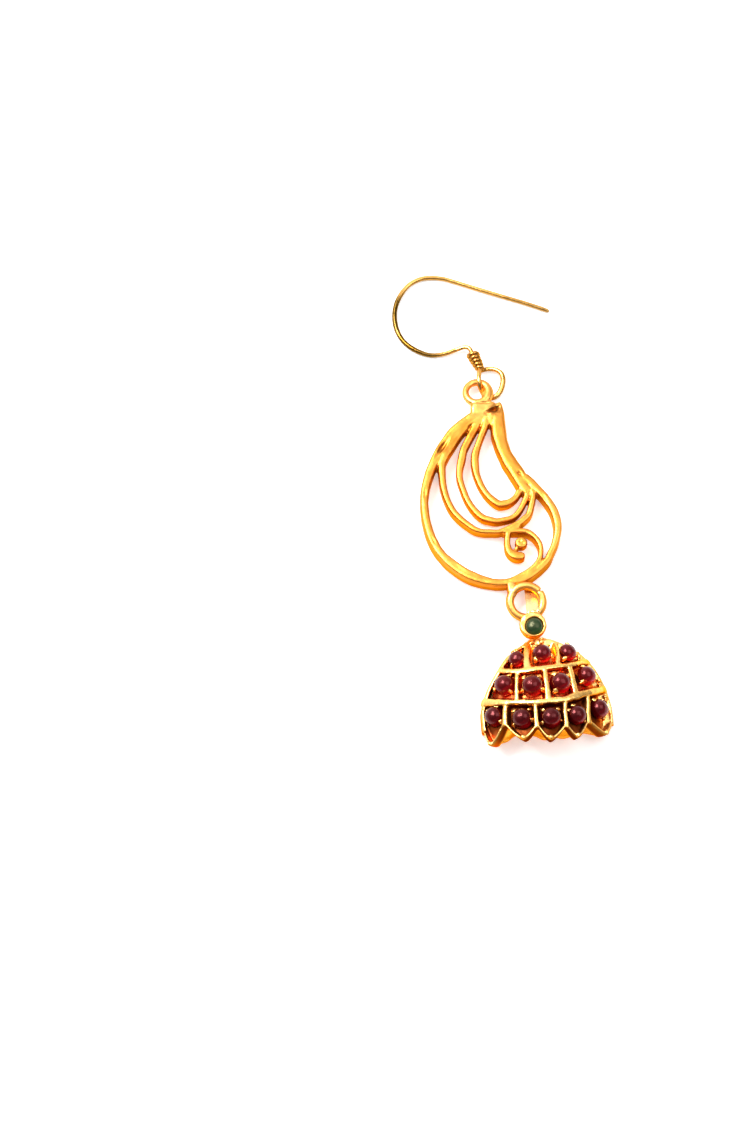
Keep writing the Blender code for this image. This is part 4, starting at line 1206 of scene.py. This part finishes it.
def gilt(name, lit_tone, body, deep, rough, edge, hollow_shade_amount=1.0, scratch=1.0, lit=(0.0, 0.0, 1.0), lit_from=0.15, tone_and_painted_light_spots=(), spot_z=0.8, drop=False):
    """Polished gilding with painted light and shade: a lit tone on faces turned to the lamps, richer on the sides,
    painted shade on faces turned away and brown painted shade in the recesses, and spots of colour at given places.
    """
    made, tree, shader = new_material(name)
    place = add(tree, "ShaderNodeTexCoord").outputs["Object"]
    shape = add(tree, "ShaderNodeNewGeometry")
    facing = add(tree, "ShaderNodeVectorMath", operation="DOT_PRODUCT")
    tree.links.new(shape.outputs["Normal"], facing.inputs[0])
    facing.inputs[1].default_value = lit
    cloud = noise_at(tree, place, 420.0, 3.0)
    fine = noise_at(tree, place, 2600.0, 4.0)
    grit = noise_at(tree, place, 9000.0, 3.0, 0.6)
    # painted shade: darker in the hollows and recesses, by ambient occlusion
    hollow = add(tree, "ShaderNodeAmbientOcclusion", samples=6, only_local=True)
    hollow.inputs["Distance"].default_value = 0.0011
    hollow_shade = ranged(tree, hollow.outputs["AO"], 0.22, 0.78, 1.0 * hollow_shade_amount, 0.0)
    # painted light: faces turned towards the lamps take the lit tone, the others the body tone
    lit_share = ranged(tree, facing.outputs["Value"], lit_from, 0.80, 0.0, 1.0)
    tone = mixed(tree, lit_share, body, lit_tone)
    # painted shade: faces turned away from the lamps, to the lower right, darker
    shade_side = add(tree, "ShaderNodeVectorMath", operation="DOT_PRODUCT")
    tree.links.new(shape.outputs["Normal"], shade_side.inputs[0])
    shade_side.inputs[1].default_value = (-0.55, 0.80, 0.22)
    tone = mixed(tree, ranged(tree, shade_side.outputs["Value"], -0.95, -0.25, 0.68, 0.0), tone, deep)
    tone = mixed(tree, ranged(tree, cloud, 0.35, 0.70, 0.0, 0.35), tone, body)
    tone = mixed(tree, ranged(tree, fine, 0.52, 0.78, 0.0, 0.22), tone, deep)
    # spots of colour at given places, many of them painted shade, painted light or painted dark reflection
    for x, y, radius, amount, colour in tone_and_painted_light_spots:
        away = add(tree, "ShaderNodeVectorMath", operation="DISTANCE")
        tree.links.new(place, away.inputs[0])
        away.inputs[1].default_value = ((x - CENTRE_X) * MM, (y - CENTRE_Y) * MM, spot_z * MM)
        spot = ranged(tree, away.outputs["Value"], radius * MM * 0.55, radius * MM, amount, 0.0)
        mottle = ranged(tree, cloud, 0.30, 0.62, 0.80, 1.0)
        both = add(tree, "ShaderNodeMath", operation="MULTIPLY")
        tree.links.new(spot, both.inputs[0])
        tree.links.new(mottle, both.inputs[1])
        tone = mixed(tree, both.outputs["Value"], tone, colour)
    if drop:
        # no painted hollow shade low down, on the smooth back plate
        height_mm = add(tree, "ShaderNodeSeparateXYZ")
        tree.links.new(place, height_mm.inputs["Vector"])
        kept = add(tree, "ShaderNodeMath", operation="MULTIPLY")
        tree.links.new(hollow_shade, kept.inputs[0])
        tree.links.new(ranged(tree, height_mm.outputs["Z"], 0.0010, 0.0024, 0.0, 1.0), kept.inputs[1])
        hollow_shade = kept.outputs["Value"]
    tone = mixed(tree, hollow_shade, tone, deep)
    if drop:
        # painted shade: the recesses darker and redder, those of the petals' row darkest; and painted bounce light,
        # bright orange, on the slope behind the petals
        for name_of, colour, amount in (("recess_shade", drop[0], 0.80), ("petal_row_shade", drop[1], 1.0), ("under", drop[2], 0.95)):
            mark = add(tree, "ShaderNodeAttribute", attribute_type="GEOMETRY", attribute_name=name_of)
            uneven = add(tree, "ShaderNodeMath", operation="MULTIPLY")
            tree.links.new(ranged(tree, mark.outputs["Fac"], 0.0, 1.0, 0.0, amount), uneven.inputs[0])
            tree.links.new(ranged(tree, cloud, 0.30, 0.60, 0.92, 1.0), uneven.inputs[1])
            tone = mixed(tree, uneven.outputs["Value"], tone, colour)
            if name_of == "petal_row_shade":
                hollow_shade = uneven.outputs["Value"]
    tree.links.new(tone, shader.inputs["Base Color"])
    shader.inputs["Metallic"].default_value = 1.0
    shader.inputs["Specular Tint"].default_value = (*edge, 1.0)
    wear = add(tree, "ShaderNodeMath", operation="ADD")
    tree.links.new(ranged(tree, fine, 0.3, 0.75, rough - 0.05, rough + 0.10), wear.inputs[0])
    tree.links.new(ranged(tree, hollow_shade, 0.0, 1.0, 0.0, 0.26), wear.inputs[1])
    tree.links.new(wear.outputs["Value"], shader.inputs["Roughness"])
    height = add(tree, "ShaderNodeMath", operation="ADD")
    tree.links.new(ranged(tree, cloud, 0.0, 1.0, 0.0, 1.6), height.inputs[0])
    both = add(tree, "ShaderNodeMath", operation="ADD")
    tree.links.new(ranged(tree, fine, 0.0, 1.0, 0.0, 0.55), both.inputs[0])
    tree.links.new(ranged(tree, grit, 0.0, 1.0, 0.0, 0.08), both.inputs[1])
    tree.links.new(both.outputs["Value"], height.inputs[1])
    bump = add(tree, "ShaderNodeBump")
    bump.inputs["Strength"].default_value = 0.55 * scratch
    bump.inputs["Distance"].default_value = 0.00006
    tree.links.new(height.outputs["Value"], bump.inputs["Height"])
    tree.links.new(bump.outputs["Normal"], shader.inputs["Normal"])
    return made


def cabochon_material(name, dark, middle, glow, rough, glow_to, tint, level, shade=None):
    """A dense polished stone with painted light: dark at the crown, with a painted glow of gathered light on the side
    away from the light.
    """
    made, tree, shader = new_material(name)
    place = add(tree, "ShaderNodeTexCoord").outputs["Object"]
    shape = add(tree, "ShaderNodeNewGeometry")
    lean = add(tree, "ShaderNodeVectorMath", operation="DOT_PRODUCT")
    tree.links.new(shape.outputs["Normal"], lean.inputs[0])
    lean.inputs[1].default_value = glow_to
    cloud = noise_at(tree, place, 900.0, 3.0)
    fleck = noise_at(tree, place, 5200.0, 4.0)
    # painted light: a ramp by the way each face turns, dark at the crown, glowing on the side away from the lamps
    tone = ramp(tree, lean.outputs["Value"], ((0.0, dark), (0.25, middle), (0.42, middle), (0.80, glow)))
    tone = mixed(tree, ranged(tree, cloud, 0.35, 0.70, 0.0, 0.45), tone, dark)
    tone = mixed(tree, ranged(tree, fleck, 0.60, 0.80, 0.0, 0.18), tone, glow)
    if shade:
        # painted shade: the stones of the lowest row darker
        where = add(tree, "ShaderNodeSeparateXYZ")
        tree.links.new(place, where.inputs["Vector"])
        tone = mixed(tree, ranged(tree, where.outputs["Y"], shade[0], shade[1], 0.0, 1.0 - shade[2]), tone, (0.018, 0.0001, 0.0012))
    tree.links.new(tone, shader.inputs["Base Color"])
    shader.inputs["Metallic"].default_value = 0.0
    shader.inputs["IOR"].default_value = 1.62
    shader.inputs["Specular IOR Level"].default_value = level
    shader.inputs["Specular Tint"].default_value = (*tint, 1.0)
    tree.links.new(ranged(tree, fleck, 0.3, 0.8, rough - 0.04, rough + 0.08), shader.inputs["Roughness"])
    bump = add(tree, "ShaderNodeBump")
    bump.inputs["Strength"].default_value = 0.30
    bump.inputs["Distance"].default_value = 0.00003
    tree.links.new(cloud, bump.inputs["Height"])
    tree.links.new(bump.outputs["Normal"], shader.inputs["Normal"])
    return made


gold = gilt(
    "gilt_cast",
    (0.70, 0.278, 0.048),
    (0.78, 0.262, 0.030),
    (0.36, 0.105, 0.008),
    0.33,
    (1.0, 0.62, 0.24),
    lit=(-0.15, 0.35, 0.92),
    lit_from=-0.10,
    # spots: painted shade in the hollows and groove and on the bridge's slope, painted light on the rim's right, and
    # darker or paler patches elsewhere
    tone_and_painted_light_spots=(
        (-0.2, 9.0, 5.5, 0.45, (0.68, 0.235, 0.026)),
        (2.4, 4.0, 2.5, 0.40, (0.66, 0.260, 0.036)),
        (-3.5, 17.2, 4.4, 0.85, (0.90, 0.440, 0.115)),
        # painted light: the rim's right side lighter
        (6.2, -2.5, 5.0, 0.65, (0.80, 0.360, 0.075)),
        # painted shade on the bridge's slope and the rim's inner upper left
        (-8.0, -7.5, 5.0, 0.45, (0.78, 0.330, 0.060)),
        (-7.6, 9.6, 2.6, 0.40, (0.60, 0.240, 0.030)),
        (-5.3, 11.5, 1.6, 0.70, (0.42, 0.150, 0.012)),
        # painted shade in the long groove on the rim's left
        (-6.9, 9.6, 1.5, 0.65, (0.42, 0.150, 0.012)),
        # painted shade in the deep hollow at the top of the strip
        (-9.0, 8.9, 1.1, 0.65, (0.24, 0.085, 0.009)),
        (-1.35, 14.9, 1.15, 0.85, (0.13, 0.040, 0.005)),
        (-10.6, 2.5, 5.5, 0.50, (0.62, 0.235, 0.036)),
    ),
    spot_z=1.9,
)
gold_drop = gilt(
    "gilt_lattice",
    (1.0, 0.65, 0.22),
    (0.96, 0.37, 0.036),
    (0.30, 0.050, 0.004),
    0.27,
    (1.0, 0.45, 0.12),
    hollow_shade_amount=1.15,
    lit=(-0.10, 0.25, 0.95),
    lit_from=0.30,
    # painted colours of the drop: recess shade, petal-row shade and bounce light under the petals
    drop=((0.62, 0.060, 0.006), (0.085, 0.014, 0.002), (1.0, 0.40, 0.040)),
)
gold_wire = gilt(
    "gilt_wire",
    (0.96, 0.53, 0.17),
    (0.70, 0.36, 0.080),
    (0.105, 0.056, 0.006),
    0.20,
    (1.0, 0.70, 0.34),
    hollow_shade_amount=0.8,
    scratch=0.6,
    lit=(-0.25, 0.80, 0.55),
    lit_from=-0.15,
    # spots: painted dark reflection on the hook's back arc and lower curve, and darker over the coil, the loop and near
    # the tip
    tone_and_painted_light_spots=(
        (-16.4, 29.8, 6.2, 1.0, (0.085, 0.046, 0.006)),
        (-12.6, 25.2, 4.2, 1.0, (0.13, 0.062, 0.006)),
        (-3.9, 23.0, 2.8, 0.80, (0.34, 0.130, 0.014)),
        (-0.2, 19.8, 2.2, 0.60, (0.42, 0.180, 0.020)),
        (2.0, 32.6, 3.4, 0.45, (0.34, 0.190, 0.050)),
        (6.0, 31.8, 2.6, 0.55, (0.34, 0.210, 0.070)),
    ),
)
gold_setting = gilt("gilt_setting", (0.90, 0.47, 0.13), (0.88, 0.33, 0.036), (0.40, 0.085, 0.006), 0.32, (1.0, 0.55, 0.18), lit=(-0.10, 0.25, 0.95), lit_from=0.20)
# the strap's lit tone is painted paler: a painted highlight
gold_strap = gilt("gilt_strap", (1.0, 0.84, 0.46), (0.96, 0.50, 0.10), (0.45, 0.14, 0.012), 0.30, (1.0, 0.80, 0.50), lit=(-0.15, 0.35, 0.92), lit_from=0.2)
red = cabochon_material("garnet_red", (0.070, 0.0001, 0.0010), (0.21, 0.0002, 0.0030), (0.80, 0.0006, 0.014), 0.215, (0.50, -0.78, -0.37), (1.0, 0.29, 0.30), 0.43, shade=(-0.0285, -0.0318, 0.42))
green = cabochon_material("deep_green", (0.010, 0.034, 0.012), (0.020, 0.070, 0.022), (0.045, 0.14, 0.035), 0.30, (0.50, -0.78, -0.37), (1.0, 0.92, 0.56), 0.30)

# ------------------------------------------------------------------ build
casting = make_casting()
casting.data.materials.clear()
casting.data.materials.append(gold)
seat(casting, "gold", "paisley_frame")

link = make_link()
link.data.materials.clear()
link.data.materials.append(gold_setting)
seat(link, "gold", "paisley_frame")

hook = make_hook()
hook.data.materials.append(gold_wire)
seat(hook, "hook_gold", "ear_hook")

lattice = make_lattice()
lattice.data.materials.clear()
lattice.data.materials.append(gold_drop)
seat(lattice, "gold", "drop_frame")

setting = cast(join("green_setting", [make_cup()]), 0.075, 2)
setting.data.materials.clear()
setting.data.materials.append(gold_setting)
seat(setting, "gold", "drop_frame")

strap = make_strap()
strap.data.materials.append(gold_strap)
seat(strap, "gold", "drop_frame")

stones, grains = make_stones()
for piece, slot_name, node in stones:
    piece.data.materials.append(green if slot_name == "green_stone" else red)
    seat(piece, slot_name, node)
grain_piece = join("stone_grains", grains)
grain_piece.data.materials.append(gold_drop)
seat(grain_piece, "gold", "drop_frame")


# ------------------------------------------------------------------ floor, light and camera
def make_floor():
    mesh = bpy.data.meshes.new("floor")
    size = 1.6
    mesh.from_pydata([(-size, -size, 0), (size, -size, 0), (size, size, 0), (-size, size, 0)], [], [(0, 1, 2, 3)])
    made = bpy.data.objects.new("floor", mesh)
    bpy.context.scene.collection.objects.link(made)
    made.location.z = -0.00002
    paint, tree, shader = new_material("pale_floor")
    shader.inputs["Base Color"].default_value = (0.92, 0.92, 0.92, 1.0)
    shader.inputs["Roughness"].default_value = 0.85
    shader.inputs["Specular IOR Level"].default_value = 0.1
    shader.inputs["Emission Color"].default_value = (1.0, 1.0, 1.0, 1.0)
    shader.inputs["Emission Strength"].default_value = 0.42
    mesh.materials.append(paint)


def soft_light(name, place, size, power, colour=(1.0, 1.0, 1.0), aim=(0.0, 0.0, 0.0), glossy_only=False):
    light = bpy.data.lights.new(name, "AREA")
    light.shape = "RECTANGLE"
    light.size, light.size_y = size
    light.energy = power
    light.color = colour
    made = bpy.data.objects.new(name, light)
    made.location = place
    made.visible_diffuse = not glossy_only
    made.rotation_euler = (Vector(aim) - Vector(place)).to_track_quat("-Z", "Y").to_euler()
    bpy.context.scene.collection.objects.link(made)


def make_world():
    """Plain studio surroundings, lighter above and behind the hook, darker on the drop's side."""
    world = bpy.data.worlds.new("studio")
    bpy.context.scene.world = world
    world.use_nodes = True
    tree = world.node_tree
    back = tree.nodes["Background"]
    way = add(tree, "ShaderNodeTexCoord")
    lean = add(tree, "ShaderNodeVectorMath", operation="DOT_PRODUCT")
    tree.links.new(way.outputs["Generated"], lean.inputs[0])
    lean.inputs[1].default_value = (-0.45, 0.80, 0.40)
    share = ranged(tree, lean.outputs["Value"], -0.30, 1.0, 0.0, 1.0)
    curve = add(tree, "ShaderNodeMath", operation="POWER")
    tree.links.new(share, curve.inputs[0])
    curve.inputs[1].default_value = 2.4
    back.inputs["Color"].default_value = (1.0, 0.99, 0.975, 1.0)
    tree.links.new(ranged(tree, curve.outputs["Value"], 0.0, 1.0, 0.30, 1.55), back.inputs["Strength"])


make_floor()
make_world()
soft_light("key", (-0.17, 0.20, 0.34), (0.12, 0.12), 1.05, (1.0, 0.99, 0.96))
soft_light("glint", (-0.165, 0.070, 0.382), (0.150, 0.150), 1.95, (1.0, 0.98, 0.94), glossy_only=True)
soft_light("window", (-0.26, 0.06, 0.30), (0.05, 0.11), 0.5)
soft_light("fill", (0.22, 0.02, 0.40), (0.30, 0.30), 0.9)

eye = bpy.data.cameras.new("camera")
eye.sensor_fit = "AUTO"
eye.sensor_width = 36.0
eye.lens = 36.0 * FOCAL_PX / PHOTO_H
eye.clip_start, eye.clip_end = 0.01, 10.0
camera = bpy.data.objects.new("camera", eye)
camera.location = ((EYE[0] - CENTRE_X) * MM, (EYE[1] - CENTRE_Y) * MM, EYE[2] * MM)
camera.rotation_euler = (TILT, 0.0, 0.0)
bpy.context.scene.collection.objects.link(camera)
bpy.context.scene.camera = camera
bpy.context.scene.view_settings.view_transform = "Standard"
bpy.context.scene.view_settings.look = "None"

bpy.context.view_layer.update()
